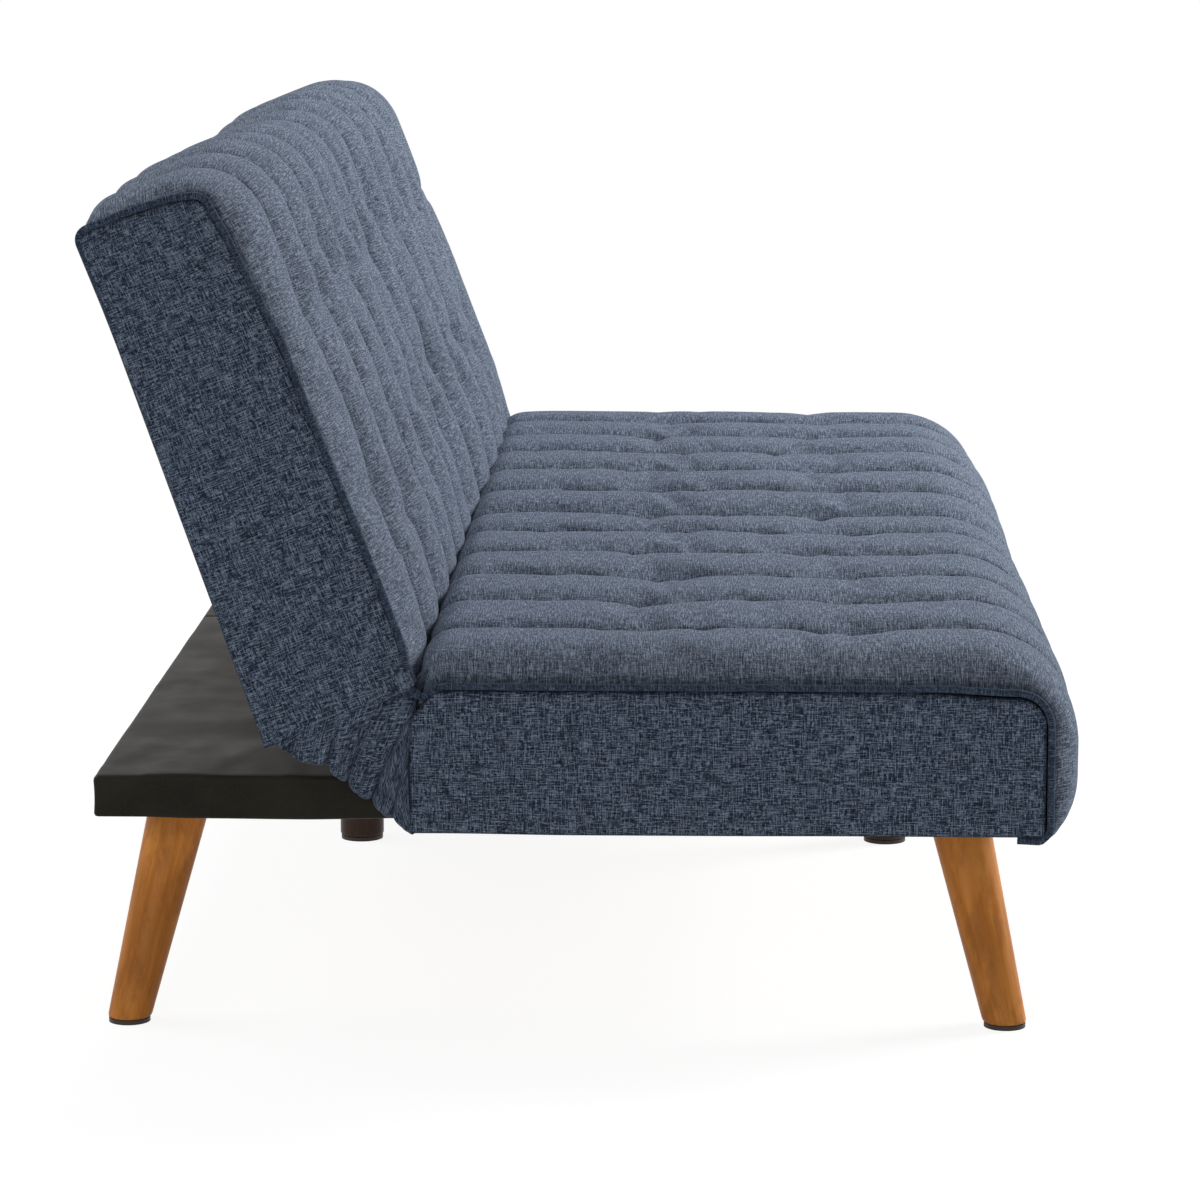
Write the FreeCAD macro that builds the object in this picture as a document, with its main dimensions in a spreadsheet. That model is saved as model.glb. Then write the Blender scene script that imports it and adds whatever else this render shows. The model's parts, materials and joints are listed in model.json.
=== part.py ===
"""Futon sofa bed: a quilted seat on a wrapped two-part base, and a back that drops flat on click-clack hinges.

Millimetres. X runs along the sofa, the front is -Y and Z is up; the floor is Z = 0. The back is drawn
upright about its hinge line, with Y as depth behind the hinge and Z as height above it, and then leans back.
"""
import FreeCAD, Part
import os
import re

import Sketcher

SIZES = {
    # overall
    "sofa_length": "1680", "recline": "21.3", "seat_reach": "570", "edge_height": "323",
    "hinge_drop": "15", "hinge_height": "=edge_height - hinge_drop",
    # sheet goods and cloth
    "cloth": "4", "piping": "8", "board": "14",
    # back shell
    "back_depth_top": "111", "back_depth_foot": "132", "back_foot": "8", "foot_corner": "6",
    "back_height": "461", "top_slope": "8.3", "back_corner": "30",
    "back_face": "=piping / 2 - hinge_drop", "corner_run": "=back_corner * tan(45 - top_slope / 2)",
    "back_height_rear": "=back_height + (back_depth_top - back_face) * tan(top_slope)",
    "back_reach": "=(back_height_rear + piping / 2 / cos(top_slope)) * sin(recline)"
                  " + back_depth_top * cos(recline) + piping / 2 * sin(recline - top_slope)",
    "hinge_y": "=(seat_reach - back_reach) / 2",
    "panel_x": "=sofa_length / 2", "board_x": "=panel_x - cloth", "inside_x": "=board_x - board",
    "cover_x": "=panel_x - piping",
    # seat shell
    "board_top": "=edge_height - piping / 2", "skirt_foot": "193", "nose_roll": "24", "nose_corner": "25",
    "nose_drop": "5", "nose_y": "=hinge_y - seat_reach + nose_roll", "seat_back_y": "=hinge_y + 2",
    "ledge": "22", "ledge_y": "=hinge_y - ledge", "relief": "14",
    # quilting
    "channels": "12", "pitch": "=sofa_length / channels", "seat_crown": "362", "seam_depth": "13",
    "crease_run": "68", "nose_radius": "88", "hem": "7", "hem_tuck": "13", "back_crown": "18",
    "top_crown": "15", "crown_run": "68", "top_radius": "60", "top_shoulder": "7",
    # frame timber
    "rail_depth": "40", "rail_width": "40", "side_rail": "25", "front_board": "15", "ledger": "20",
    "slat": "8", "slat_width": "55", "slat_rise": "9", "frame_front": "30", "frame_depth": "36",
    "bottom_rail_foot": "14", "belt": "2", "belt_width": "60", "belt_pitch": "84", "belt_start": "20",
    "dust_cover": "1", "dust_cover_edge": "8", "rail_top": "=base_top + rail_depth",
    "top_rail_top": "=back_height + (frame_front - back_face) * tan(top_slope) - board / cos(top_slope)",
    # base
    "base_top": "238", "base_depth": "37", "base_end_gap": "10", "base_front_gap": "6",
    "base_reach": "276.9", "base_rear": "=hinge_y + base_reach", "wrap": "1", "deck": "5",
    "base_rail": "70", "base_inner_rail": "30", "half_gap": "1", "wrap_hem": "45", "base_foot": "=base_top - base_depth",
    "base_x": "=inside_x - base_end_gap", "base_front": "=nose_y + front_board + base_front_gap",
    # legs
    "leg_top": "56", "leg_foot": "39", "leg_end_inset": "98", "leg_rear_inset": "17", "leg_front_inset": "4.5",
    "leg_x": "=panel_x - leg_end_inset", "leg_rear_y": "=base_rear - leg_rear_inset",
    "leg_front_y": "=base_front + leg_front_inset", "leg_splay": "45", "glide": "4", "glide_step": "2",
    "centre_leg": "46", "centre_rear_inset": "166", "centre_front_inset": "80.5",
    "centre_rear_y": "=base_rear - centre_rear_inset", "centre_front_y": "=base_front + centre_front_inset",
    "leg_plate": "3", "leg_plate_size": "76", "join_plate_size": "130", "leg_stud": "8", "leg_stud_grip": "24",
    "stud_play": "0.6",
    "leg_height": "=base_foot - leg_plate",
    # hinge
    "arm": "3", "arm_gap": "0.3", "arm_reach": "190", "arm_width": "26", "eye": "16", "rivet": "10",
    "ratchet": "10", "rivet_head": "2", "arm_bolt": "6", "arm_bolt_grip": "18", "bolt_pitch": "80",
    "bolt_play": "0.4",
    "rail_x": "=inside_x - side_rail", "fixed_arm_x": "=rail_x - arm",
    "moving_arm_x": "=fixed_arm_x - arm_gap - arm", "stile_x": "=moving_arm_x + arm",
    "ratchet_x": "=moving_arm_x - ratchet", "notch_x": "=ratchet_x - 4", "notch_run": "64",
}
SIDES = {"left": -1, "right": 1}
X_AXIS, Z_AXIS = FreeCAD.Vector(1, 0, 0), FreeCAD.Vector(0, 0, 1)

doc = FreeCAD.newDocument("FutonSofaBed")
sheet = doc.addObject("Spreadsheet::Sheet", "Sizes")
for row, (alias, value) in enumerate(SIZES.items(), 1):
    sheet.set(f"A{row}", alias)
    sheet.set(f"B{row}", value)
    sheet.setAlias(f"B{row}", alias)
doc.recompute()
subparts = []


def on_sheet(formula):
    """The formula with each name of a size pointing at its cell."""
    return re.sub(r"[a-z_]+", lambda word: "Sizes." + word[0] if word[0] in SIZES else word[0], str(formula))


def value(formula):
    """What a formula comes to now."""
    return float(sheet.evalExpression(on_sheet(formula)))


def bind(item, **formulas):
    """Ties properties of an object to the sheet."""
    for name, formula in formulas.items():
        item.setExpression(name, on_sheet(formula))


def leaned(y, z):
    """Where a point of the upright back lies once the back leans on its hinge."""
    return (f"hinge_y + ({z}) * sin(recline) + ({y}) * cos(recline)",
            f"hinge_height + ({z}) * cos(recline) - ({y}) * sin(recline)")


def place(item, x="0", y="0", z="0", leans=False):
    """Puts an object's own origin at a point, leaning with the back where asked."""
    if leans:
        item.Placement = FreeCAD.Placement(FreeCAD.Vector(), FreeCAD.Rotation(X_AXIS, -1))
        item.setExpression("Placement.Rotation.Angle", on_sheet("-recline * 1 deg"))
        y, z = leaned(y, z)
    for axis, formula in zip("xyz", (x, y, z)):
        item.setExpression(f"Placement.Base.{axis}", on_sheet(formula))


def keep(item):
    """Counts an object among the sub-parts that are written out."""
    subparts.append(item)
    return item


def span(sign, inner, outer):
    """The low and high X of a piece on one side of the middle."""
    return (f"-({outer})", f"-({inner})") if sign < 0 else (inner, outer)


def block(name, x, y, z, leans=False):
    """A straight piece of timber or sheet between two places on each axis."""
    item = doc.addObject("Part::Box", name)
    bind(item, Length=f"({x[1]}) - ({x[0]})", Width=f"({y[1]}) - ({y[0]})", Height=f"({z[1]}) - ({z[0]})")
    place(item, x[0], y[0], z[0], leans)
    return item


def outline(sketch, corners, closed=True, holes=()):
    """Draws corners (across, up[, bow]), where bow is how far the edge to the next one bulges to its right."""
    spots = [FreeCAD.Vector(value(c[0]), value(c[1]), 0) for c in corners]
    count = len(corners) if closed else len(corners) - 1
    starts = []
    for i in range(count):
        a, b = spots[i], spots[(i + 1) % len(spots)]
        if len(corners[i]) == 3:
            way = (b - a).normalize()
            middle = (a + b) / 2 + FreeCAD.Vector(way.y, -way.x, 0) * value(corners[i][2])
            edge = sketch.addGeometry(Part.Arc(a, middle, b))
        else:
            edge = sketch.addGeometry(Part.LineSegment(a, b))
        starts.append((edge, 1 if (sketch.getPoint(edge, 1) - a).Length < 1e-6 else 2))
    for i, (edge, start) in enumerate(starts):
        if closed or i + 1 < count:
            following, its_start = starts[(i + 1) % count]
            sketch.addConstraint(Sketcher.Constraint("Coincident", edge, 3 - start, following, its_start))
        pin_point(sketch, edge, start, corners[i])
        if len(corners[i]) == 3:
            (x0, y0, bow), (x1, y1) = corners[i], corners[(i + 1) % len(corners)][:2]
            square = f"((({x1}) - ({x0}))^2 + (({y1}) - ({y0}))^2)"
            dimension(sketch, ("Radius", edge), f"{square} / (8 * abs({bow})) + abs({bow}) / 2")
    if not closed:
        edge, start = starts[-1]
        pin_point(sketch, edge, 3 - start, corners[-1])
    for across, up, diameter in holes:
        centre = FreeCAD.Vector(value(across), value(up), 0)
        ring = sketch.addGeometry(Part.Circle(centre, Z_AXIS, value(diameter) / 2))
        pin_point(sketch, ring, 3, (across, up))
        dimension(sketch, ("Radius", ring), f"({diameter}) / 2")
    return sketch


def dimension(sketch, what, formula):
    """Adds one dimension to a sketch and ties it to the sheet."""
    index = sketch.addConstraint(Sketcher.Constraint(*what, value(formula)))
    sketch.setExpression(f"Constraints[{index}]", on_sheet(formula))


def pin_point(sketch, edge, end, spot):
    """Dimensions a point of a sketch from the sketch's origin."""
    dimension(sketch, ("DistanceX", -1, 1, edge, end), spot[0])
    dimension(sketch, ("DistanceY", -1, 1, edge, end), spot[1])


def sketch_in(body, plane, name, offset=None):
    """A new sketch on one of a body's own planes, raised from it where asked."""
    sketch = body.newObject("Sketcher::SketchObject", name)
    sketch.AttachmentSupport = [(next(f for f in body.Origin.OriginFeatures if f.Role == plane), "")]
    sketch.MapMode = "FlatFace"
    if offset:
        sketch.setExpression("AttachmentOffset.Base.z", on_sheet(offset))
    return sketch


def plate(name, x, corners, leans=False, holes=()):
    """A sheet piece cut to an outline seen from the sofa's end, with its holes."""
    body = doc.addObject("PartDesign::Body", name)
    sketch = outline(sketch_in(body, "YZ_Plane", name + "_outline"), corners, holes=holes)
    pad = body.newObject("PartDesign::Pad", name + "_pad")
    pad.Profile = sketch
    bind(pad, Length=f"({x[1]}) - ({x[0]})")
    place(body, x[0], leans=leans)
    return body


def turned(name, steps):
    """A round piece along Z from (height, radius) steps, revolved about its own axis."""
    body = doc.addObject("PartDesign::Body", name)
    corners = [("0", steps[0][0])] + [(radius, height) for height, radius in steps] + [("0", steps[-1][0])]
    sketch = outline(sketch_in(body, "XZ_Plane", name + "_profile"), corners)
    turn = body.newObject("PartDesign::Revolution", name + "_turn")
    turn.Profile = sketch
    turn.ReferenceAxis = (sketch, ["V_Axis"])
    turn.Angle = 360
    return body


def disc(body, name, height, x, y, diameter):
    """A circle drawn level in a body at a height."""
    return outline(sketch_in(body, "XY_Plane", name, height), [], holes=[(x, y, diameter)])


def hex_bolt(name, size, grip):
    """A bolt along Z: a six-sided head that stands on its origin, and a plain shank above it."""
    body = doc.addObject("PartDesign::Body", name)
    corners = [(f"{size} * cos({angle})", f"{size} * sin({angle})") for angle in range(0, 360, 60)]
    head = body.newObject("PartDesign::Pad", name + "_head")
    head.Profile = outline(sketch_in(body, "XY_Plane", name + "_hexagon"), corners)
    bind(head, Length=f"{size} / 2")
    shank = body.newObject("PartDesign::Pad", name + "_shank")
    shank.Profile = disc(body, name + "_ring", "0", "0", "0", size)
    bind(shank, Length=f"{size} / 2 + {grip}")
    return body


def lengthways(item, sign, x, y, z, leans=False):
    """Lays a turned piece along X, its foot at a point and its head towards the sofa's middle."""
    item.Placement = FreeCAD.Placement(FreeCAD.Vector(), FreeCAD.Rotation(FreeCAD.Vector(0, -sign, 0), 90))
    y, z = leaned(y, z) if leans else (y, z)
    place(item, f"{sign} * ({x})", y, z)
    return item


def group(name, items):
    """One node that holds several loose solids."""
    item = doc.addObject("Part::Compound", name)
    item.Links = items
    return keep(item)


def without(name, item, tools):
    """An object with others cut from it."""
    tool = tools[0]
    if len(tools) > 1:
        tool = doc.addObject("Part::MultiFuse", name + "_tools")
        tool.Shapes = tools
    cut = doc.addObject("Part::Cut", name)
    cut.Base, cut.Tool = item, tool
    return cut


def prism(name, turn, corners, length, start):
    """An outline drawn in a plane that is turned from XY, and pushed out along that plane's normal."""
    sketch = doc.addObject("Sketcher::SketchObject", name + "_sketch")
    outline(sketch, corners)
    item = doc.addObject("Part::Extrusion", name)
    item.Base, item.DirMode, item.Solid = sketch, "Normal", True
    bind(item, LengthFwd=length)
    sketch.Placement = FreeCAD.Placement(FreeCAD.Vector(), turn)
    normal = turn.multVec(Z_AXIS)
    for axis, part in zip("xyz", normal):
        if abs(part) > 0.5:
            sketch.setExpression(f"Placement.Base.{axis}", on_sheet(start))
    return item


END_ON = FreeCAD.Rotation(FreeCAD.Vector(1, 1, 1), 120)   # drawn in YZ, pushed along X
FRONT_ON = FreeCAD.Rotation(X_AXIS, 90)                   # drawn in XZ, pushed along -Y
FROM_ABOVE = FreeCAD.Rotation()                           # drawn in XY, pushed along Z
QUARTER = "(1 - cos(45))"                                 # bow of a quarter round, as a share of its radius


def scallops(crown, seam, ends, far):
    """Quilted channels side by side along X at a level, closed off at a far level."""
    count = round(value("channels"))
    edges = ["-cover_x"] + [f"pitch * {i - count / 2}" for i in range(1, count)] + ["cover_x"]
    levels = [ends] + [seam] * (count - 1) + [ends]
    turn = "1" if value(far) > value(crown) else "-1"
    bows = [f"{turn} * abs(({crown}) - (({a}) + ({b})) / 2)" for a, b in zip(levels, levels[1:])]
    return [*zip(edges, levels, bows), ("cover_x", ends), ("cover_x", far), ("-cover_x", far)]


def quilted(name, band, top, front, leans=False):
    """A quilted cover: its side outline along the sofa, rounded into channels on top and in front."""
    cover = doc.addObject("Part::MultiCommon", name)
    cover.Shapes = [
        prism(name + "_band", END_ON, band, "2 * cover_x", "-cover_x"),
        prism(name + "_top", FRONT_ON, top, "2 * seat_reach", "seat_reach"),
        prism(name + "_front", FROM_ABOVE, front, "2 * seat_reach", "-seat_reach"),
    ]
    place(cover, leans=leans)
    return keep(cover)


def seat_side(foot):
    """The seat's end outline inside its piping, down to a level: up behind, forward and down the nose."""
    return [
        ("seat_back_y", foot),
        ("seat_back_y", "hinge_height - relief"),
        ("ledge_y", "board_top"),
        ("nose_y + nose_corner", "board_top - nose_drop", f"nose_corner * {QUARTER}"),
        ("nose_y", "board_top - nose_drop - nose_corner"),
        ("nose_y", foot),
    ]


def back_top(grow="0"):
    """The back's top edge and front corner, grown outwards: from the rear forward and down the face."""
    slant = "tan(45 - top_slope / 2)"
    face, run = f"(back_face - {grow})", f"(corner_run + {grow} * {slant})"
    level = f"(back_height + {grow} * {slant})"
    return [
        ("back_depth_top", f"{level} + (back_depth_top - {face}) * tan(top_slope)"),
        (f"{face} + {run} * cos(top_slope)", f"{level} + {run} * sin(top_slope)",
         f"(back_corner + {grow}) * (1 - cos(45 - top_slope / 2))"),
        (face, f"{level} - {run}"),
    ]


def back_side():
    """The back's end outline inside its piping."""
    foot = [("back_face", "back_foot + foot_corner"), ("back_face + foot_corner", "back_foot")]
    return [("back_depth_foot", "back_foot")] + back_top() + foot


def ends():
    """The boards and padded panels that close the ends of the seat and the back."""
    for side, sign in SIDES.items():
        for piece, inner, outer in (("board", "inside_x", "board_x"), ("panel", "board_x", "panel_x")):
            x = span(sign, inner, outer)
            keep(plate(f"seat_end_{piece}_{side}", x, seat_side("skirt_foot")))
            keep(plate(f"back_end_{piece}_{side}", x, back_side(), leans=True))


def piping(name, sign, path, plane, centre, start, leans=False):
    """A cord sewn round a panel: a ring on a plane through the path's start, swept along the path."""
    body = doc.addObject("PartDesign::Body", name)
    spine = outline(sketch_in(body, "YZ_Plane", name + "_path"), path, closed=False)
    across, up = centre
    corners = [(f"{across} + piping / 2 * cos({angle})", f"{up} + piping / 2 * sin({angle})")
               for angle in range(0, 360, 45)]
    ring = outline(sketch_in(body, plane, name + "_section", start), corners)
    sweep = body.newObject("PartDesign::AdditivePipe", name + "_sweep")
    sweep.Profile, sweep.Spine = ring, spine
    place(body, f"{sign} * board_x", leans=leans)
    return keep(body)


def pipings():
    """The cords round the end panels of the seat and the back."""
    corner = "nose_corner + piping / 2"
    seat_path = [
        ("ledge_y", "edge_height"),
        ("ledge_y - piping", "edge_height"),
        ("nose_y + nose_corner", "edge_height - nose_drop", f"({corner}) * {QUARTER}"),
        ("nose_y - piping / 2", "edge_height - nose_drop - nose_corner - piping / 2"),
        ("nose_y - piping / 2", "skirt_foot"),
    ]
    face = "back_face - piping / 2"
    back_path = [(face, "back_foot + foot_corner")] + back_top("piping / 2")[::-1]
    back_path = [back_path[0], back_path[1] + (f"-({back_path[2][2]})",), back_path[2][:2], back_path[3]]
    for side, sign in SIDES.items():
        piping(f"seat_piping_{side}", sign, seat_path, "XZ_Plane", ("0", "edge_height"), "-ledge_y")
        piping(f"back_piping_{side}", sign, back_path, "XY_Plane", ("0", face), "back_foot + foot_corner", True)


def seat():
    """The seat's timber box, its sprung slats, foam and quilted cover."""
    front_rail = ("nose_y + front_board", "nose_y + front_board + rail_width")
    rear_rail = ("seat_back_y - rail_width", "seat_back_y")
    height = ("base_top", "rail_top")
    keep(block("seat_front_board", ("-inside_x", "inside_x"), ("nose_y", "nose_y + front_board"),
               ("skirt_foot", "rail_top")))
    keep(block("seat_front_rail", ("-rail_x", "rail_x"), front_rail, height))
    keep(block("seat_rear_rail", ("-fixed_arm_x", "fixed_arm_x"), rear_rail, height))
    keep(block("seat_centre_rail", ("-rail_width / 2", "rail_width / 2"), (front_rail[1], rear_rail[0]), height))
    for side, sign in SIDES.items():
        rail = block(f"seat_side_rail_{side}_blank", span(sign, "rail_x", "inside_x"),
                     (front_rail[0], "seat_back_y"), height)
        keep(without(f"seat_side_rail_{side}", rail, arm_bolt_holes(f"seat_{side}", sign)))
    ledger_height = ("base_top", "base_top + ledger")
    ledgers = []
    for side, sign in SIDES.items():
        ledgers.append(block(f"front_ledger_{side}", span(sign, "rail_width / 2", "rail_x"),
                             (front_rail[1], front_rail[1] + " + ledger"), ledger_height))
        ledgers.append(block(f"rear_ledger_{side}", span(sign, "rail_width / 2", "fixed_arm_x"),
                             (rear_rail[0] + " - ledger", rear_rail[0]), ledger_height))
    group("seat_ledgers", ledgers)
    low, high = "base_top + ledger", "base_top + ledger + slat"
    bent = [(rear_rail[0], low), (rear_rail[0], high, "slat_rise"), (front_rail[1], high),
            (front_rail[1], low, "-slat_rise")]
    slats = []
    for i in range(-5, 5):
        middle = f"pitch * {i + 0.5}"
        slats.append(plate(f"slat_{i + 6}", (f"{middle} - slat_width / 2", f"{middle} + slat_width / 2"), bent))
    group("seat_slats", slats)
    foam = plate("seat_foam_blank", ("-inside_x", "inside_x"), seat_side("rail_top"))
    notches = [block(f"seat_notch_{side}", span(sign, "notch_x", "inside_x"),
                     ("hinge_y - notch_run", "hinge_y + notch_run"), ("rail_top", "seat_crown"))
               for side, sign in SIDES.items()]
    keep(without("seat_foam", foam, notches))
    seat_quilting()


def seat_quilting():
    """The seat's cover, from the crease at the hinge over the top and round the front roll."""
    front = "hinge_y - seat_reach"
    band = [
        ("ledge_y", "board_top"),
        ("ledge_y - 2", "edge_height", "14"),
        ("ledge_y - crease_run", "seat_crown"),
        (f"{front} + nose_radius", "seat_crown", f"nose_radius * {QUARTER}"),
        (front, "seat_crown - nose_radius"),
        (f"{front} + 3", "skirt_foot + 15"),
        (f"{front} + hem_tuck", "skirt_foot - hem"),
        ("nose_y", "skirt_foot - hem"),
        ("nose_y", "board_top - nose_drop - nose_corner", f"-nose_corner * {QUARTER}"),
        ("nose_y + nose_corner", "board_top - nose_drop"),
    ]
    quilted("seat_cover", band,
            scallops("seat_crown", "seat_crown - seam_depth", "edge_height + piping / 2", "0"),
            scallops(front, f"{front} + seam_depth", "nose_y - piping", "hinge_y"))


def back():
    """The back's timber frame, webbing, foam and quilted cover, and the cloth that closes it behind."""
    depth = ("frame_front", "frame_front + frame_depth")
    top_rail = ("top_rail_top - rail_width", "top_rail_top")
    bottom_rail = ("bottom_rail_foot", "bottom_rail_foot + rail_width")
    keep(block("back_bottom_rail", ("-moving_arm_x", "moving_arm_x"), depth, bottom_rail, True))
    keep(block("back_top_rail", ("-stile_x", "stile_x"), depth, top_rail, True))
    for side, sign in SIDES.items():
        stile = block(f"back_stile_{side}_blank", span(sign, "stile_x", "inside_x"), depth,
                      (bottom_rail[0], top_rail[1]), True)
        keep(without(f"back_stile_{side}", stile, arm_bolt_holes(f"back_{side}", sign, True)))
    rear, start = back_top()[:2]
    drop = "board / cos(top_slope)"
    keep(plate("back_top_board", ("-inside_x", "inside_x"),
               [(rear[0], f"{rear[1]} - {drop}"), rear, start[:2], (start[0], f"{start[1]} - {drop}")], True))
    belts = [block(f"belt_{i}", ("-inside_x", "inside_x"), ("frame_front - belt", "frame_front"),
                   (f"{bottom_rail[1]} + belt_start + belt_pitch * {i}",
                    f"{bottom_rail[1]} + belt_start + belt_pitch * {i} + belt_width"), True) for i in range(4)]
    group("back_webbing", belts)
    back_of_foam = "frame_front - belt"
    foam = plate("back_foam_blank", ("-inside_x", "inside_x"),
                 [(back_of_foam, "back_foot"), (back_of_foam, f"{start[1]} - {drop}"),
                  (start[0], f"{start[1]} - {drop}")] + [start, back_top()[2]] + back_side()[-2:], True)
    notches = [block(f"back_notch_{side}", span(sign, "notch_x", "inside_x"), ("-notch_run", "notch_run"),
                     ("-notch_run", "notch_run"), True) for side, sign in SIDES.items()]
    keep(without("back_foam", foam, notches))
    keep(block("back_dust_cover", ("-inside_x + dust_cover_edge", "inside_x - dust_cover_edge"),
               (depth[1], f"{depth[1]} + dust_cover"), (f"{bottom_rail[0]} + dust_cover_edge",
                                                       f"{top_rail[1]} - dust_cover_edge"), True))
    back_quilting()


def back_quilting():
    """The back's cover, from the crease up its face and over the top."""
    front, top = "(back_face - back_crown - piping / 2)", "(back_height_rear + top_crown)"
    rear, start, face = back_top()
    band = [
        rear,
        ("back_depth_top", f"{rear[1]} + piping / 2", "2"),
        ("back_depth_top - top_shoulder", top),
        (f"{front} + top_radius", top, f"top_radius * {QUARTER}"),
        (front, f"{top} - top_radius"),
        (front, "back_foot + crown_run", "10"),
        ("back_face - piping / 2", "back_foot + foot_corner"),
        ("back_face", "back_foot + foot_corner"),
        (*face, f"-({start[2]})"),
        start[:2],
    ]
    quilted("back_cover", band,
            scallops(top, f"{top} - seam_depth", f"{rear[1]} + 2", "0"),
            scallops(front, f"{front} + seam_depth", "back_face - piping", "back_depth_foot"), True)


def gussets():
    """The cloth wedges that close each end between the seat and the leaning back, folded away when flat."""
    near = leaned("0", "back_foot")
    far = leaned("back_depth_foot - cloth", "back_foot")
    corners = [
        ("seat_back_y", "hinge_height - relief"),
        ("seat_back_y", "skirt_foot + 1", "4"),
        ("seat_back_y + 24", "skirt_foot + 21", "5"),
        ("seat_back_y + 62", "skirt_foot + 51", "6"),
        far,
        near,
    ]
    for side, sign in SIDES.items():
        keep(plate(f"gusset_{side}", span(sign, "board_x - cloth", "board_x"), corners))


def base():
    """The two halves of the base, each a timber frame with a deck in a cloth wrap."""
    height = ("base_foot + wrap", "base_top - wrap - deck")
    y_inside = ("base_front + wrap + base_rail", "base_rear - wrap - base_rail")
    y_edge = ("base_front + wrap", "base_rear - wrap")
    x_edge = ("half_gap + wrap", "base_x - wrap")
    long_rails, end_rails, inner_rails, cross_rails, decks = [], [], [], [], []
    for side, sign in SIDES.items():
        for row, y in (("front", (y_edge[0], y_inside[0])), ("rear", (y_inside[1], y_edge[1]))):
            long_rails.append(block(f"{row}_rail_{side}", span(sign, *x_edge), y, height))
        end_rails.append(block(f"end_rail_{side}", span(sign, "base_x - wrap - base_rail", x_edge[1]),
                               y_inside, height))
        inner_rails.append(block(f"inner_rail_{side}", span(sign, x_edge[0], f"{x_edge[0]} + base_inner_rail"),
                                 y_inside, height))
        cross_rails.append(block(f"cross_rail_{side}", span(sign, "base_x / 2 - base_inner_rail",
                                                            "base_x / 2"), y_inside, height))
        decks.append(block(f"deck_{side}", span(sign, *x_edge), y_edge, (height[1], "base_top - wrap")))
        skin = block(f"wrap_{side}_outside", span(sign, "half_gap", "base_x"),
                     ("base_front", "base_rear"), ("base_foot", "base_top"))
        hollow = block(f"wrap_{side}_hollow", span(sign, *x_edge), y_edge, (height[0], "base_top - wrap"))
        mouth = block(f"wrap_{side}_mouth", span(sign, "half_gap + wrap_hem", "base_x - wrap_hem"),
                      ("base_front + wrap_hem", "base_rear - wrap_hem"), ("0", height[0]))
        keep(without(f"base_wrap_{side}", skin, [hollow, mouth]))
    group("base_long_rails", long_rails)
    group("base_end_rails", end_rails)
    group("base_inner_rails", inner_rails)
    group("base_cross_rails", cross_rails)
    group("base_decks", decks)


def upright_round(name, diameter, x, y, low, high):
    """An upright cylinder."""
    tool = doc.addObject("Part::Cylinder", name)
    bind(tool, Radius=f"({diameter}) / 2", Height=f"({high}) - ({low})")
    place(tool, x, y, low)
    return tool


LEG_ROWS = {"front": ("leg_front_y", -1), "rear": ("leg_rear_y", 1)}


def leg_top_spot(row, side):
    """Where a leg's axis meets the base, inwards of its foot on both axes."""
    foot_y, outwards = LEG_ROWS[row]
    return f"{SIDES[side]} * (leg_x - leg_splay)", f"{foot_y} - {outwards} * leg_splay"


def legs():
    """Tapered wooden legs that splay both ways, straight ones at the middle, their plates and glides."""
    plates, glides = [], []
    for row, (foot_y, outwards) in LEG_ROWS.items():
        for side, sign in SIDES.items():
            name = f"leg_{row}_{side}"
            body = doc.addObject("PartDesign::Body", name + "_blank")
            foot = disc(body, name + "_foot", "glide", "0", "0", "leg_foot")
            top = disc(body, name + "_top", "leg_height", f"{-sign} * leg_splay", f"{-outwards} * leg_splay",
                       "leg_top")
            taper = body.newObject("PartDesign::AdditiveLoft", name + "_taper")
            taper.Profile, taper.Sections = foot, [top]
            place(body, f"{sign} * leg_x", foot_y)
            spot = leg_top_spot(row, side)
            bore = upright_round(name + "_bore", "leg_stud + stud_play", *spot, "leg_height - leg_stud_grip - 2",
                                 "leg_height")
            keep(without(name, body, [bore]))
            plates.append(leg_plate(f"plate_{row}_{side}", *spot, width="leg_plate_size", stud=True))
            glides.append(upright_round(f"glide_{row}_{side}", "leg_foot - glide_step", f"{sign} * leg_x", foot_y,
                                        "0", "glide"))
    for row in ("front", "rear"):
        y = f"centre_{row}_y"
        keep(upright_round(f"centre_leg_{row}", "centre_leg", "0", y, "glide", "leg_height"))
        plates.append(leg_plate(f"plate_centre_{row}", "0", y, width="join_plate_size"))
        glides.append(upright_round(f"glide_centre_{row}", "centre_leg - glide_step", "0", y, "0", "glide"))
    group("leg_plates", plates)
    group("leg_glides", glides)


def leg_plate(name, x, y, width, stud=False):
    """A steel plate under the base, with a stud that screws into a leg's top where it has one."""
    body = doc.addObject("PartDesign::Body", name)
    across, deep = f"{width} / 2", "leg_plate_size / 2"
    corners = [(f"-{across}", f"-{deep}"), (across, f"-{deep}"), (across, deep), (f"-{across}", deep)]
    pad = body.newObject("PartDesign::Pad", name + "_pad")
    pad.Profile = outline(sketch_in(body, "XY_Plane", name + "_outline"), corners)
    bind(pad, Length="leg_plate")
    if stud:
        pin = body.newObject("PartDesign::Pad", name + "_stud")
        pin.Profile, pin.Reversed = disc(body, name + "_ring", "0", "0", "0", "leg_stud"), True
        bind(pin, Length="leg_stud_grip")
    place(body, x, y, "leg_height")
    return body


def arm_spots(leans):
    """Where an arm's bolts go, from the hinge line: along the seat's rail or up the back's stile."""
    middle = "frame_front + frame_depth / 2" if leans else "-(hinge_height - base_top - rail_depth / 2)"
    reaches = [f"arm_reach - arm_width / 2 - bolt_pitch * {i}" for i in range(2)]
    return [(middle, reach) if leans else (f"-({reach})", middle) for reach in reaches]


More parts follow.
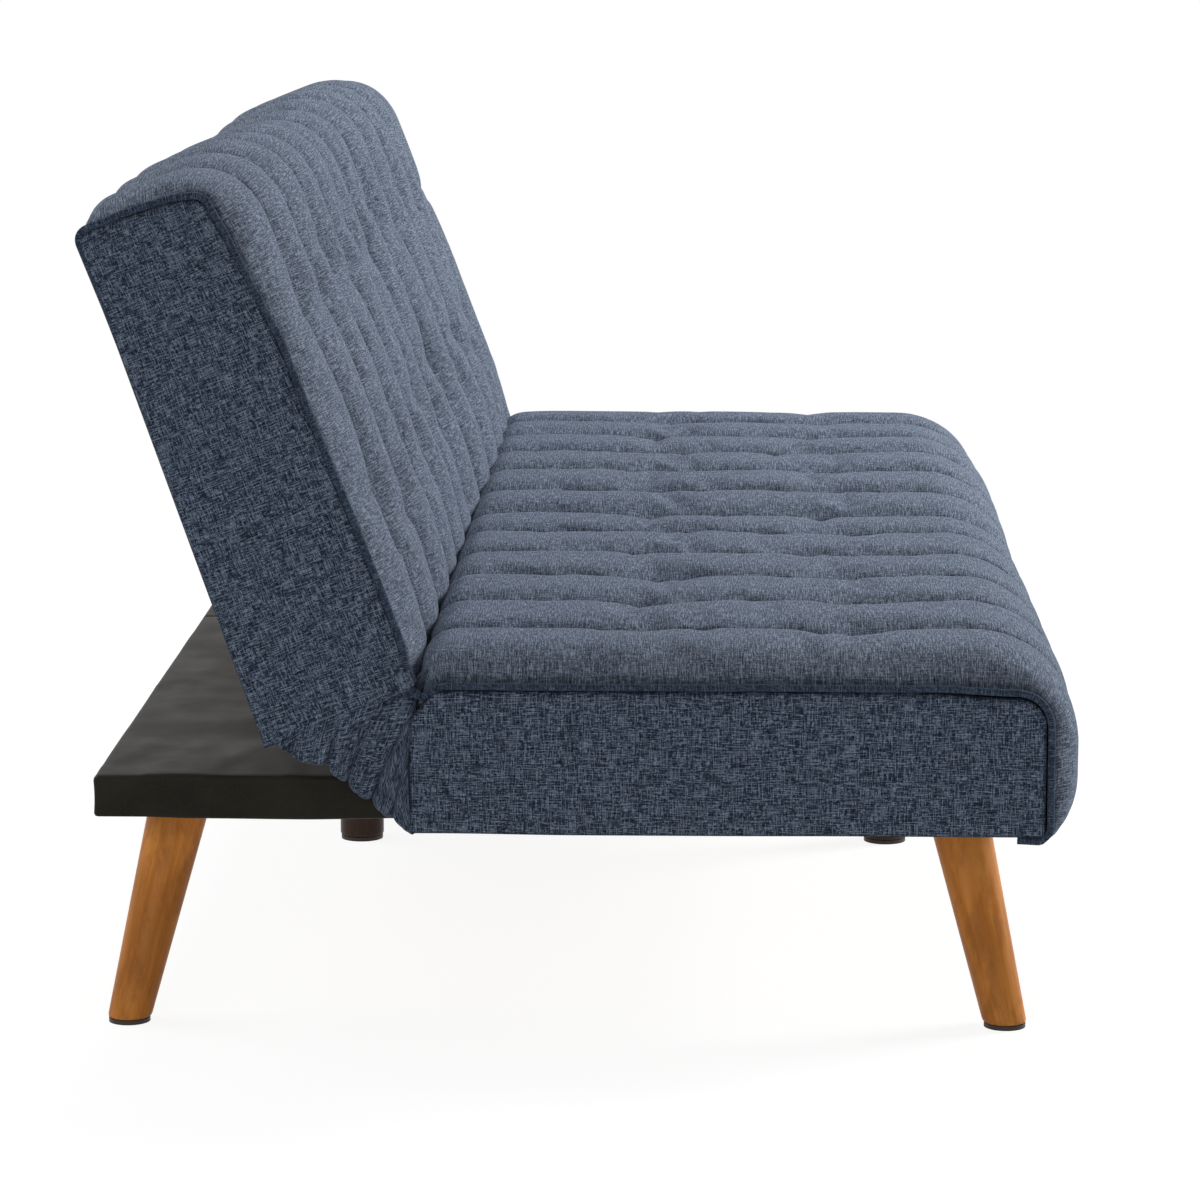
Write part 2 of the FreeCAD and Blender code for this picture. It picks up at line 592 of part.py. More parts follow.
def arm_bolt_holes(name, sign, leans=False):
    """Blind holes in a rail or stile for the bolts of a hinge arm."""
    holes = []
    face = "stile_x" if leans else "rail_x"
    for i, (y, z) in enumerate(arm_spots(leans)):
        hole = doc.addObject("Part::Cylinder", f"{name}_arm_hole_{i}")
        bind(hole, Radius="(arm_bolt + bolt_play) / 2", Height="arm_bolt_grip")
        holes.append(lengthways(hole, -sign, f"-({face})", y, z, leans) if leans
                     else lengthways(hole, -sign, f"-({face})", f"hinge_y + {y}", f"hinge_height + {z}"))
    return holes


def hinges():
    """Click-clack hinges: an arm on the seat, one on the back, a ratchet in its housing and a rivet."""
    low = "-(hinge_height - base_top - rail_depth / 2 + arm_width / 2)"
    high = f"({low} + arm_width)"
    seat_arm = [("-arm_reach", low), ("-arm_reach + arm_width * 1.5", low), ("-46", low), ("11", "-12"),
                ("-13", "9"), ("-62", high), ("-arm_reach", high)]
    near = "(frame_front + frame_depth / 2 - arm_width / 2)"
    beyond = f"({near} + arm_width)"
    back_arm = [("12", "-11"), (beyond, "50"), (beyond, "arm_reach"), (near, "arm_reach"), (near, "62"),
                ("-11", "12")]
    rivets, seat_bolts, back_bolts = [], [], []
    for side, sign in SIDES.items():
        for name, corners, x, leans in (
                (f"hinge_seat_arm_{side}", seat_arm, ("fixed_arm_x", "rail_x"), False),
                (f"hinge_back_arm_{side}", back_arm, ("moving_arm_x", "moving_arm_x + arm"), True)):
            arm = plate(name, span(sign, *x), corners, leans,
                        [(*spot, "arm_bolt + bolt_play") for spot in arm_spots(leans)])
            eye_and_bore(arm, name)
            if not leans:
                place(arm, span(sign, *x)[0], "hinge_y", "hinge_height")
            keep(arm)
        housing = turned(f"hinge_ratchet_{side}", [("0", "eye"), ("ratchet - 3", "eye"), ("ratchet", "eye - 4")])
        keep(lengthways(housing, sign, "moving_arm_x", "0", "0", True))
        rivet = turned(f"hinge_rivet_{side}", [
            ("0", "rivet * 0.8"), ("rivet_head", "rivet * 0.8"), ("rivet_head", "rivet / 2"),
            ("rivet_head + 2 * arm + arm_gap", "rivet / 2")])
        rivets.append(lengthways(rivet, sign, "rail_x + rivet_head", "hinge_y", "hinge_height"))
        for leans, bolts in ((False, seat_bolts), (True, back_bolts)):
            head_x = "fixed_arm_x" if not leans else "moving_arm_x"
            for i, (y, z) in enumerate(arm_spots(leans)):
                bolt = hex_bolt(f"{'back' if leans else 'seat'}_arm_bolt_{side}_{i}", "arm_bolt",
                                "arm + arm_bolt_grip")
                if not leans:
                    y, z = f"hinge_y + {y}", f"hinge_height + {z}"
                bolts.append(lengthways(bolt, -sign, f"-({head_x}) + arm_bolt / 2", y, z, leans))
    group("hinge_rivets", rivets)
    group("hinge_seat_bolts", seat_bolts)
    group("hinge_back_bolts", back_bolts)


def eye_and_bore(arm, name):
    """Adds the round eye of a hinge arm about the hinge line, and bores it for the rivet."""
    eye = arm.newObject("PartDesign::Pad", name + "_eye")
    eye.Profile = outline(sketch_in(arm, "YZ_Plane", name + "_eye_ring"), [], holes=[("0", "0", "2 * eye")])
    bind(eye, Length="arm")
    bore = arm.newObject("PartDesign::Pocket", name + "_bore")
    ring = [("0", "0", "rivet + bolt_play")]
    bore.Profile = outline(sketch_in(arm, "YZ_Plane", name + "_bore_ring"), [], holes=ring)
    bore.Type, bore.Midplane = "ThroughAll", True


def write_out():
    """Checks every object and writes each sub-part to its own file."""
    doc.recompute()
    for item in doc.Objects:
        if {"Invalid", "Error"} & set(item.State):
            raise RuntimeError(f"{item.Label}: {item.State}")
    os.makedirs("parts", exist_ok=True)
    for item in subparts:
        if item.Shape.isNull() or not item.Shape.isValid():
            raise RuntimeError(f"{item.Label} has no valid shape")
        item.Shape.exportStep(f"parts/{item.Label}.step")


ends()
pipings()
seat()
back()
gussets()
base()
legs()
hinges()
write_out()
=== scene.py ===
"""Dresses the futon sofa bed: quilted linen, piping, gathered gussets, a cloth-wrapped base and wooden legs."""
import json
import math

import bpy
import numpy as np
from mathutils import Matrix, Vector


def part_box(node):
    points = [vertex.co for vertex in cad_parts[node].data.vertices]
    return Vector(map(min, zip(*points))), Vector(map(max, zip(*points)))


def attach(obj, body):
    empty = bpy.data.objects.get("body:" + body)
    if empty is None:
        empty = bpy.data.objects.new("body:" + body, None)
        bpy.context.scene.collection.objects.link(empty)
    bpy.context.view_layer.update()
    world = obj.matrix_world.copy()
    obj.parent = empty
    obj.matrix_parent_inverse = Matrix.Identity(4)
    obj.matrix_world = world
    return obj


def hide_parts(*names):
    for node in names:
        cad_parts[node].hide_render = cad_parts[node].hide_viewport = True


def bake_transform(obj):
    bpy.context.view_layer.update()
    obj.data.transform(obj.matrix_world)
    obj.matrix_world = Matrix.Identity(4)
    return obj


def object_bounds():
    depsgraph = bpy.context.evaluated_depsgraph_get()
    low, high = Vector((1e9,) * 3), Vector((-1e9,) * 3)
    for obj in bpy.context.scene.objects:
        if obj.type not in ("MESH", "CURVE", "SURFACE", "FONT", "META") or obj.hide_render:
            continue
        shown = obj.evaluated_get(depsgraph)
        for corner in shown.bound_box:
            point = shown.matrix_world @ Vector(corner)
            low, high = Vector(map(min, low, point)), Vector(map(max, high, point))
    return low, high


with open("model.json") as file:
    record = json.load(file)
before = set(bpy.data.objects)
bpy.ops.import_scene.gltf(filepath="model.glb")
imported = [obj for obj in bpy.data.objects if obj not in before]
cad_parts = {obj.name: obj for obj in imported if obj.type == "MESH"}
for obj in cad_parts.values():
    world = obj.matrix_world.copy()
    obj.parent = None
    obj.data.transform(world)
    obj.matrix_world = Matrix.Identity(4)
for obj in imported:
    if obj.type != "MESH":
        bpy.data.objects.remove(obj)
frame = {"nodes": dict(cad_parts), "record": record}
cad_low, cad_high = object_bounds()

MM = 0.001
HINGE_Y, HINGE_Z = frame["record"]["behaviour"]["joints"][0]["pos_m"][1:]
RECLINE = math.radians(21.3)  # how far the back leans at rest
SIDES = (("left", -1), ("right", 1))
CHANNELS = 12
PITCH = (cad_high.x - cad_low.x) / CHANNELS
PANEL_X = cad_high.x  # the end panels' outer faces
COVER_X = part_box("seat_cover")[1].x
EDGE_X = COVER_X + 1.5 * MM  # where the quilts are sewn to the piping
BOARD_IN_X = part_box("seat_end_board_right")[0].x
FRONT_Y, HEM_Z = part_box("seat_cover")[0].yz
NOSE_Y, SKIRT_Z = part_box("seat_end_panel_right")[0].yz
SEAT_BACK_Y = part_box("seat_end_panel_right")[1].y
EDGE_Z = HINGE_Z + 15 * MM  # the piping along the seat's end
CROWN_Z = 355 * MM  # the line that the seat's quilt is drawn from, along its top
CORD_R = 3.2 * MM
TUFTS_SEAT = (203 * MM, 388 * MM)  # in front of the hinge
TUFTS_BACK = (170 * MM, 355 * MM)  # up the back


# -------- numbers and meshes
def noise(u, v, seed):
    """Smooth noise between -1 and 1 on a lattice of unit cells."""
    cells = 64
    grid = np.random.default_rng(seed).uniform(-1, 1, (cells, cells))
    u, v = np.broadcast_arrays(np.asarray(u, float), np.asarray(v, float))
    iu, iv = np.floor(u).astype(int), np.floor(v).astype(int)
    fu, fv = u - iu, v - iv
    fu, fv = fu * fu * (3 - 2 * fu), fv * fv * (3 - 2 * fv)
    a, b = grid[iu % cells, iv % cells], grid[(iu + 1) % cells, iv % cells]
    c, d = grid[iu % cells, (iv + 1) % cells], grid[(iu + 1) % cells, (iv + 1) % cells]
    return (a + (b - a) * fu) * (1 - fv) + (c + (d - c) * fu) * fv


def bell(distance, width):
    """1 at no distance, falling smoothly to about a third at the width."""
    return np.exp(-(distance / width) ** 2)


def ramp(value, low, high):
    """Smooth step from 0 at low to 1 at high."""
    t = np.clip((value - low) / (high - low), 0, 1)
    return t * t * (3 - 2 * t)


def placed(*axes):
    """Points from the arrays of their coordinates, which broadcast together."""
    return np.stack(np.broadcast_arrays(*axes), -1)


def unit(vectors):
    return vectors / np.linalg.norm(vectors, axis=1)[:, None]


def distance_along(points):
    """How far along a line of points each one lies."""
    return np.concatenate([[0], np.cumsum(np.linalg.norm(np.diff(points, axis=0), axis=1))])


def point_at(at, run, line):
    """The points of a line at given distances along it."""
    return placed(*(np.interp(at, run, axis) for axis in line.T))


def rounded_path(corners, step):
    """Evenly spaced points along a line whose corners (a, b, radius) are rounded, and the way it runs at each."""
    points = [np.array(corners[0][:2], float)]
    for before, here, after in zip(corners, corners[1:], corners[2:]):
        p, q, r = (np.array(c[:2], float) for c in (before, here, after))
        into, out = (q - p) / np.linalg.norm(q - p), (r - q) / np.linalg.norm(r - q)
        turn = math.acos(np.clip(into @ out, -1, 1))
        reach = here[2] * math.tan(turn / 2)
        start, end = q - into * reach, q + out * reach
        pull = 0.2 * (start + end) / 2 + 0.8 * q
        points += [(1 - t) ** 2 * start + 2 * t * (1 - t) * pull + t * t * end for t in np.linspace(0, 1, 17)]
    points = np.array([*points, corners[-1][:2]], float)
    run = distance_along(points)
    at = np.linspace(0, run[-1], max(2, round(run[-1] / step) + 1))
    path = point_at(at, run, points)
    return path, unit(np.gradient(path, axis=0)), at


def leaned(x, depth, height):
    """World points of the upright back's points once it leans on its hinge."""
    y = HINGE_Y + height * math.sin(RECLINE) + depth * math.cos(RECLINE)
    z = HINGE_Z + height * math.cos(RECLINE) - depth * math.sin(RECLINE)
    return placed(x, y, z)


def add_object(name, data):
    item = bpy.data.objects.new(name, data)
    bpy.context.scene.collection.objects.link(item)
    return item


def mesh_object(name, verts, faces, cloth=None):
    """A smooth mesh object; cloth holds each vertex's place on the flat material, in metres."""
    mesh = bpy.data.meshes.new(name)
    verts = np.asarray(verts, np.float32).reshape(-1, 3)
    faces = [np.asarray(f, np.int32) for f in faces]
    mesh.vertices.add(len(verts))
    mesh.vertices.foreach_set("co", verts.ravel())
    sizes = np.concatenate([np.full(len(f), f.shape[1]) for f in faces])
    mesh.loops.add(int(sizes.sum()))
    mesh.loops.foreach_set("vertex_index", np.concatenate([f.ravel() for f in faces]).astype(np.int32))
    mesh.polygons.add(len(sizes))
    mesh.polygons.foreach_set("loop_start", np.concatenate([[0], np.cumsum(sizes)[:-1]]).astype(np.int32))
    mesh.polygons.foreach_set("use_smooth", np.ones(len(sizes), bool))
    if cloth is not None:
        flat = np.pad(np.reshape(cloth, (-1, 2)), ((0, 0), (0, 1))).astype(np.float32)
        mesh.attributes.new("cloth", "FLOAT_VECTOR", "POINT").data.foreach_set("vector", flat.ravel())
    mesh.update(calc_edges=True)
    mesh.validate()
    return add_object(name, mesh)


def paint_shade(item, values):
    """Stores how much painted shade each vertex gets, which the linen reads to darken seams, creases, folds and edges
    where shade falls.
    """
    item.data.attributes.new("seam", "FLOAT", "POINT").data.foreach_set("value", np.asarray(values, np.float32).ravel())


def grid_faces(rows, cols, wrap_cols=False, flip=False, start=0):
    """The quads of a grid of vertices, which may close on itself across its columns."""
    r = np.arange(rows - 1)[:, None]
    c = np.arange(cols if wrap_cols else cols - 1)[None, :]
    c2 = (c + 1) % cols
    quads = placed(r * cols + c, r * cols + c2, (r + 1) * cols + c2, (r + 1) * cols + c).reshape(-1, 4) + start
    return quads[:, ::-1] if flip else quads


def tube_faces(rows, sides):
    """The faces of rings of vertices, closed on one more vertex at each end."""
    first, last = np.arange(sides), (rows - 1) * sides + np.arange(sides)
    return [grid_faces(rows, sides, wrap_cols=True),
            np.stack([np.roll(first, -1), first, np.full(sides, rows * sides)], 1),
            np.stack([last, np.roll(last, -1), np.full(sides, rows * sides + 1)], 1)]


def border(index):
    """The vertices round the edge of a grid, in order."""
    return np.concatenate([index[0], index[1:, -1], index[-1, -2::-1], index[-2:0:-1, 0]])


def grid_object(name, points, cloth, flip=False):
    """A sheet from a grid of points, with each point's place on the flat cloth."""
    return mesh_object(name, points, [grid_faces(*points.shape[:2], flip=flip)], cloth)


def thicken(item, thickness, levels=0, offset=-1):
    """Gives a sheet its thickness, after smoothing it if levels are asked for."""
    if levels:
        smooth = item.modifiers.new("smooth", "SUBSURF")
        smooth.levels = smooth.render_levels = levels
    shell = item.modifiers.new("shell", "SOLIDIFY")
    shell.thickness, shell.offset = thickness, offset
    mesh = bpy.data.meshes.new_from_object(item.evaluated_get(bpy.context.evaluated_depsgraph_get()))
    mesh.name = item.name
    item.modifiers.clear()
    item.data = mesh
    return item


def tube(name, centre, radius, sides=14, bias=0.35):
    """A round cord along 3-D points, in cloth cut on the bias."""
    way = unit(np.gradient(centre, axis=0))
    side = unit(np.cross(way, (1.0, 0.0, 0.0)))
    up = np.cross(side, way)
    angle = np.linspace(0, 2 * math.pi, sides, endpoint=False)
    ring = np.cos(angle)[None, :, None] * side[:, None] + np.sin(angle)[None, :, None] * up[:, None]
    verts = (centre[:, None] + ring * radius).reshape(-1, 3)
    run = distance_along(centre)
    cloth = placed(angle * radius + bias * run[:, None], run[:, None])
    return mesh_object(name, np.concatenate([verts, centre[:1], centre[-1:]]), tube_faces(len(centre), sides),
                       np.concatenate([cloth.reshape(-1, 2), [[0, 0], [0, run[-1]]]]))


# -------- materials
def new_node(tree, kind, settings=None, **inputs):
    """A shader node whose inputs, by name or as _number, are set to a value or linked to an output."""
    node = tree.nodes.new("ShaderNode" + kind)
    for key, value in (settings or {}).items():
        setattr(node, key, value)
    for key, value in inputs.items():
        socket = node.inputs[int(key[1:])] if key[0] == "_" else node.inputs[key.replace("_", " ")]
        if isinstance(value, bpy.types.NodeSocket):
            tree.links.new(value, socket)
        else:
            socket.default_value = value
    return node


class Paint:
    """Builds one node material around a Principled shader."""

    def __init__(self, name, **uniform):
        self.material = bpy.data.materials.new(name)
        self.material.use_nodes = True
        self.tree = self.material.node_tree
        self.shader = self.tree.nodes["Principled BSDF"]
        for socket, value in uniform.items():
            self.shader.inputs[socket.replace("_", " ")].default_value = value

    def node(self, kind, settings=None, **inputs):
        return new_node(self.tree, kind, settings, **inputs)

    def on_cloth(self, scale, turn=0.0):
        """Coordinates on the flat cloth, scaled to a texture's own cells."""
        source = self.node("Attribute", {"attribute_name": "cloth"}).outputs["Vector"]
        return self.node("Mapping", None, Vector=source, Scale=scale, Rotation=(0, 0, turn)).outputs["Vector"]

    def in_solid(self, scale):
        """Coordinates through the solid, scaled to a texture's own cells."""
        source = self.node("TexCoord").outputs["Object"]
        return self.node("Mapping", None, Vector=source, Scale=scale).outputs["Vector"]

    def noise(self, at, detail=2.0, rough=0.5, distort=0.0):
        return self.node("TexNoise", None, Vector=at, Scale=1.0, Detail=detail, Roughness=rough,
                         Distortion=distort).outputs["Fac"]

    def bands(self, at, direction, scale, **more):
        return self.node("TexWave", {"wave_type": "BANDS", "bands_direction": direction}, Vector=at, Scale=scale,
                         **more).outputs["Fac"]

    def cells(self, at, **more):
        return self.node("TexVoronoi", None, Vector=at, Scale=1.0, **more).outputs["Distance"]

    def span(self, value, low, high, to_low=0.0, to_high=1.0):
        """A value from low to high, made to run smoothly from to_low to to_high."""
        return self.node("MapRange", {"clamp": True, "interpolation_type": "SMOOTHSTEP"}, Value=value,
                         _1=low, _2=high, _3=to_low, _4=to_high).outputs["Result"]

    def math(self, how, a, b):
        return self.node("Math", {"operation": how}, _0=a, _1=b).outputs[0]

    def plus(self, a, b):
        return self.math("ADD", a, b)

    def times(self, a, b):
        return self.math("MULTIPLY", a, b)

    def blend(self, amount, a, b):
        """Colour a turned into colour b by an amount."""
        a, b = (c if isinstance(c, bpy.types.NodeSocket) else (*c[:3], 1) for c in (a, b))
        return self.node("Mix", {"data_type": "RGBA"}, _0=amount, _6=a, _7=b).outputs[2]

    def finish(self, colour, roughness, height, depth, strength):
        """Links the colour, the roughness and a bump of some depth to the shader."""
        bump = self.node("Bump", None, Height=height, Strength=strength, Distance=depth)
        for socket, value in (("Base Color", colour), ("Roughness", roughness), ("Normal", bump.outputs["Normal"])):
            self.tree.links.new(value, self.shader.inputs[socket])
        return self.material


def linear(*rgb):
    """A colour as it looks on screen, from 0 to 255, made linear."""
    return tuple((c / 255 / 12.92) if c < 11 else ((c / 255 + 0.055) / 1.055) ** 2.4 for c in rgb)


def linen(name, dark, ground, light, warp_share, thread=1.1 * MM):
    """Heathered slub linen: dark and pale threads cross both ways, with a few longer and paler slubs, and painted shade
    wherever a piece stores it in its seam attribute.
    """
    paint = Paint(name, Sheen_Weight=0.16, Sheen_Roughness=0.4, Sheen_Tint=(0.62, 0.74, 1.0, 1),
                  Specular_IOR_Level=0.08)

    def threads(length, width, layer):
        """Streaks along the weft and along the warp."""
        along, side = 1 / length, 1 / width
        return (paint.noise(paint.on_cloth((along, side, layer)), 0.5),
                paint.noise(paint.on_cloth((side, along, layer)), 0.5))

    weft, warp = threads(12 * MM, thread, 1)
    weft_fine, warp_fine = threads(3.2 * MM, 0.85 * thread, 2)
    slub, slub_up = threads(16 * MM, 0.95 * thread, 3)
    cloud = paint.noise(paint.on_cloth((45, 45, 1)), 3.0, 0.6)
    tone = 0.0
    for streak, weight in ((weft, 0.9), (warp, 0.9 * warp_share), (weft_fine, 1.0), (warp_fine, warp_share),
                           (cloud, 0.15)):
        tone = paint.plus(paint.times(paint.math("SUBTRACT", streak, 0.5), weight), tone)
    pale, deep = paint.span(tone, -0.06, 0.54), paint.span(tone, 0.08, -0.52)
    colour = paint.blend(pale, paint.blend(deep, ground, dark), light)
    thick = paint.math("MAXIMUM", paint.span(slub, 0.57, 0.68),
                       paint.times(paint.span(slub_up, 0.57, 0.68), warp_share))
    colour = paint.blend(paint.times(thick, 0.5), colour, light)
    # Painted shade: the seam attribute darkens the linen towards a deep tone of its dark thread, where seams, folds and
    # edges lie in shade.
    seam = paint.node("Attribute", {"attribute_name": "seam"}).outputs["Fac"]
    colour = paint.blend(paint.times(seam, 0.8), colour, tuple(0.55 * c for c in dark))
    weave = paint.times(*(paint.bands(paint.on_cloth((1, 1, 1), turn), "X", 0.31 / thread, Distortion=1.5,
                                      Detail=2.0, Detail_Scale=2.0) for turn in (0.0, math.pi / 2)))
    height = paint.plus(paint.plus(tone, weave), paint.times(thick, 0.4))
    return paint.finish(colour, paint.span(pale, 0, 1, 0.95, 0.80), height, 0.4 * MM, 0.6)


def wrap_cloth(name):
    """Thin non-woven cloth with a faint waxy shine and a fine pressed grid."""
    paint = Paint(name, Specular_IOR_Level=0.04)
    fibres = paint.noise(paint.on_cloth((420, 420, 1)), 4.0, 0.65)
    patches = paint.noise(paint.on_cloth((14, 14, 1)), 3.0, 0.55)
    dots = paint.cells(paint.on_cloth((520, 520, 1)), Randomness=0.25)
    colour = paint.blend(paint.span(patches, 0.3, 0.7), linear(40, 38, 33), linear(52, 49, 42))
    colour = paint.blend(paint.span(fibres, 0.35, 0.7, 0, 0.35), colour, linear(60, 56, 47))
    colour = paint.blend(paint.span(dots, 0.35, 0.1, 0, 0.3), colour, linear(16, 16, 14))
    height = paint.plus(fibres, paint.times(dots, 0.5))
    return paint.finish(colour, paint.span(patches, 0.3, 0.7, 0.40, 0.50), height, 0.15 * MM, 0.3)


def timber(name, pale, mid, dark, rough, coat=0.0, turned=False, ply=False):
    """Wood with long grain, darker figure and pores; a turned piece has its grain on its unrolled surface."""
    paint = Paint(name, Coat_Weight=coat, Coat_Roughness=0.25, Specular_IOR_Level=0.16)
    at = paint.on_cloth if turned else paint.in_solid
    grain, pore, patch = (((120, 9, 1), (800, 26, 1), (18, 7, 1)) if turned else
                          ((9, 120, 120), (22, 700, 700), (14, 14, 14)))
    streaks = paint.noise(at(grain), 4.0, 0.6, 0.6)
    pores = paint.noise(at(pore), 2.0, 0.55)
    tint = paint.noise(at(patch))
    figure = paint.noise(paint.in_solid((70, 70, 28)), 3.0, 0.6)
    colour = paint.blend(paint.span(streaks, 0.32, 0.68), mid, pale)
    colour = paint.blend(paint.span(tint, 0.42, 0.72, 0, 0.55), colour, dark)
    colour = paint.blend(paint.span(figure, 0.44, 0.66, 0, 0.4), colour, dark)
    colour = paint.blend(paint.span(pores, 0.36, 0.26, 0, 0.5), colour, dark)
    if ply:
        bands = paint.bands(paint.in_solid((1, 1, 1)), "Z", 90.0, Distortion=0.4)
        colour = paint.blend(paint.span(bands, 0.6, 0.9, 0, 0.25), colour, dark)
    height = paint.plus(pores, paint.times(streaks, 0.4))
    return paint.finish(colour, paint.span(streaks, 0.3, 0.7, *rough), height, 0.2 * MM, 0.35)


def plastic(name, colour, bright):
    """Moulded plastic with a fine grain and scuffs."""
    paint = Paint(name, Specular_IOR_Level=0.4)
    grain = paint.noise(paint.in_solid((900, 900, 900)))
    scuff = paint.noise(paint.in_solid((60, 60, 60)), 3.0, 0.6)
    mixed = paint.blend(paint.span(scuff, 0.45, 0.75, 0, 0.6), colour, bright)
    return paint.finish(mixed, paint.span(scuff, 0.3, 0.7, 0.42, 0.62), grain, 0.1 * MM, 0.4)


def steel(name):
    """Zinc-plated steel, spangled and faintly brushed."""
    paint = Paint(name, Metallic=0.95)
    spangle = paint.cells(paint.in_solid((160, 160, 160)))
    brushed = paint.noise(paint.in_solid((40, 900, 900)), 2.0, 0.6)
    colour = paint.blend(paint.span(spangle, 0.1, 0.7), linear(168, 168, 170), linear(196, 196, 194))
    return paint.finish(colour, paint.span(brushed, 0.3, 0.7, 0.28, 0.44), brushed, 0.05 * MM, 0.3)


def foam_skin(name):
    """Open-cell foam, yellowed a little."""
    paint = Paint(name)
    cells = paint.cells(paint.in_solid((700, 700, 700)))
    tint = paint.noise(paint.in_solid((20, 20, 20)), 3.0, 0.6)
    colour = paint.blend(paint.span(tint, 0.3, 0.7), linear(222, 214, 186), linear(234, 227, 203))
    colour = paint.blend(paint.span(cells, 0.3, 0.05, 0, 0.5), colour, linear(182, 172, 140))
    return paint.finish(colour, paint.span(tint, 0.3, 0.7, 0.85, 0.97), cells, 0.5 * MM, 0.6)


def belt_weave(name):
    """Ribbed elastic webbing."""
    paint = Paint(name)
    ribs = paint.bands(paint.in_solid((1, 1, 1)), "Z", 160.0)
    knit = paint.noise(paint.in_solid((300, 900, 900)))
    colour = paint.blend(ribs, linear(38, 38, 36), linear(64, 63, 60))
    return paint.finish(colour, paint.span(knit, 0.3, 0.7, 0.7, 0.9), paint.plus(ribs, knit), 0.4 * MM, 0.6)


# The first row holds the linen's own colours. The second row is the same linen painted darker: painted shade for the
# end panels, their piping and the gussets, which face away from the light.
INK, GROUND, PALE = linear(35, 44, 57), linear(88, 98, 113), linear(168, 179, 196)
INK_SHADED, GROUND_SHADED, PALE_SHADED = linear(16, 25, 38), linear(53, 65, 82), linear(146, 159, 180)
MATERIALS = {
    "quilt_linen": linen("quilt_linen", INK, GROUND, PALE, 0.6),
    "end_linen": linen("end_linen", INK_SHADED, GROUND_SHADED, PALE_SHADED, 0.9),
    # Painted shade: the piping takes the darker copy of the linen, as the ends do.
    "piping_linen": linen("piping_linen", INK_SHADED, GROUND_SHADED, linear(104, 117, 137), 0.6),
    "black_cloth": wrap_cloth("black_cloth"),
    "foam": foam_skin("foam"),
    "webbing": belt_weave("webbing"),
    "leg_wood": timber("leg_wood", linear(234, 156, 76), linear(212, 132, 54), linear(150, 86, 32),
                       (0.42, 0.55), 0.03, turned=True),
    "centre_leg_wood": timber("centre_leg_wood", linear(86, 62, 48), linear(60, 43, 34),
                              linear(36, 26, 22), (0.4, 0.55), 0.1, turned=True),
    "glide_plastic": plastic("glide_plastic", linear(44, 36, 31), linear(74, 60, 50)),
    "steel": steel("steel"),
    "plywood": timber("plywood", linear(206, 176, 134), linear(188, 154, 112), linear(150, 116, 78),
                      (0.6, 0.75), ply=True),
    "pine": timber("pine", linear(222, 190, 142), linear(206, 168, 116), linear(176, 132, 84),
                   (0.55, 0.7)),
}
for part in frame["record"]["subparts"]:
    node = frame["nodes"][part["node"]]
    if not node.material_slots:
        node.data.materials.append(None)
    for slot in node.material_slots:
        slot.material = MATERIALS[part["material_slot"]]


def dress(item, slot, body, *nodes):
    """Gives a piece its material, the body that it rides on, and the CAD nodes that it stands for."""
    item.data.materials.clear()
    item.data.materials.append(MATERIALS[slot])
    if body:
        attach(item, body)
    if nodes:
        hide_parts(*nodes)
    return item


# -------- quilted covers
COLUMNS, STEP = 20, 8.6 * MM  # a quilt's points: how many across a channel, and how far apart along it
GROOVE, GROOVE_WIDTH = 5.5 * MM, 1.8 * MM  # the narrow groove of the stitching itself
PUCKER = 1.3 * MM  # how far the cloth gathers by a tuft
FULLER = 6 * MM  # how much higher the filling stands at the right end than at the left
CLOTH = {"quality": 6, "mass": 0.25, "tension_stiffness": 18, "compression_stiffness": 18, "shear_stiffness": 6,
         "bending_stiffness": 0.35, "tension_damping": 8, "compression_damping": 8, "shear_damping": 8,
         "vertex_group_mass": "held", "pin_stiffness": 1, "shrink_min": -0.022, "use_pressure": True,
         "uniform_pressure_force": 1.2}


def sewn_to(path, line, line_run):
    """The point of the piping's line that each point of a quilt's path is drawn towards, in order along it."""
    apart = np.linalg.norm(path[:, None] - line[None], axis=2)
    at = np.maximum.accumulate(line_run[np.argmin(apart, 1)])
    at[0], at[-1] = 0, line_run[-1]
    for _ in range(3):
        at[1:-1] = np.convolve(at, [0.25, 0.5, 0.25], "valid")
    return point_at(at, line_run, line)


def channel_columns():
    """Each column's channel, and its place across it from -1 to 1; the columns crowd towards the seams."""
    even = np.linspace(-1, 1, COLUMNS, endpoint=False)
    across = np.tile(np.sign(even) * (1 - (1 - np.abs(even)) ** 1.7), CHANNELS)
    return np.append(np.repeat(np.arange(CHANNELS), COLUMNS), CHANNELS - 1), np.append(across, 1.0)


def seam_lines(run, tufts, seam, tuft, tuft_reach, seed):
    """For each seam along the path: its place across the sofa, its depth, and how far the tufts sink it."""
    places, seams, sinks = [], [], []
    for i in range(CHANNELS + 1):
        wander = 3.6 * MM * noise(run / 0.12 + 7 * i, i * 1.7, seed) + 0.8 * MM * noise(run / 0.035, i * 3.1, seed)
        lean = 1 if i % 2 else -1
        at_middle = 1.15 if 2 * i == CHANNELS else 1
        sink = 0 * run
        for t in tufts:
            past = run - t - 6 * MM * noise(i * 1.9 + 0.5, t * 17 + 0.5, seed + 6)
            pull = tuft * (1 + 0.16 * noise(i * 2.3, t * 31, seed + 5))
            sink = sink + pull * (at_middle * bell(past, tuft_reach) + 0.35 * bell(past, 0.35 * tuft_reach))
            wander = wander + lean * 11 * MM * past / tuft_reach * bell(past, tuft_reach)
        places.append(PITCH * (i - CHANNELS / 2) + wander)
        seams.append(seam(run) * (1 + 0.14 * noise(i * 3.7, run / 0.09, seed + 7)))
        sinks.append(sink)
    places, seams, sinks = np.array(places), np.array(seams), np.array(sinks)
    places[0], places[-1] = -EDGE_X, EDGE_X  # the ends, at the piping
    seams[[0, -1]] = sinks[[0, -1]] = 0
    return places, seams, sinks


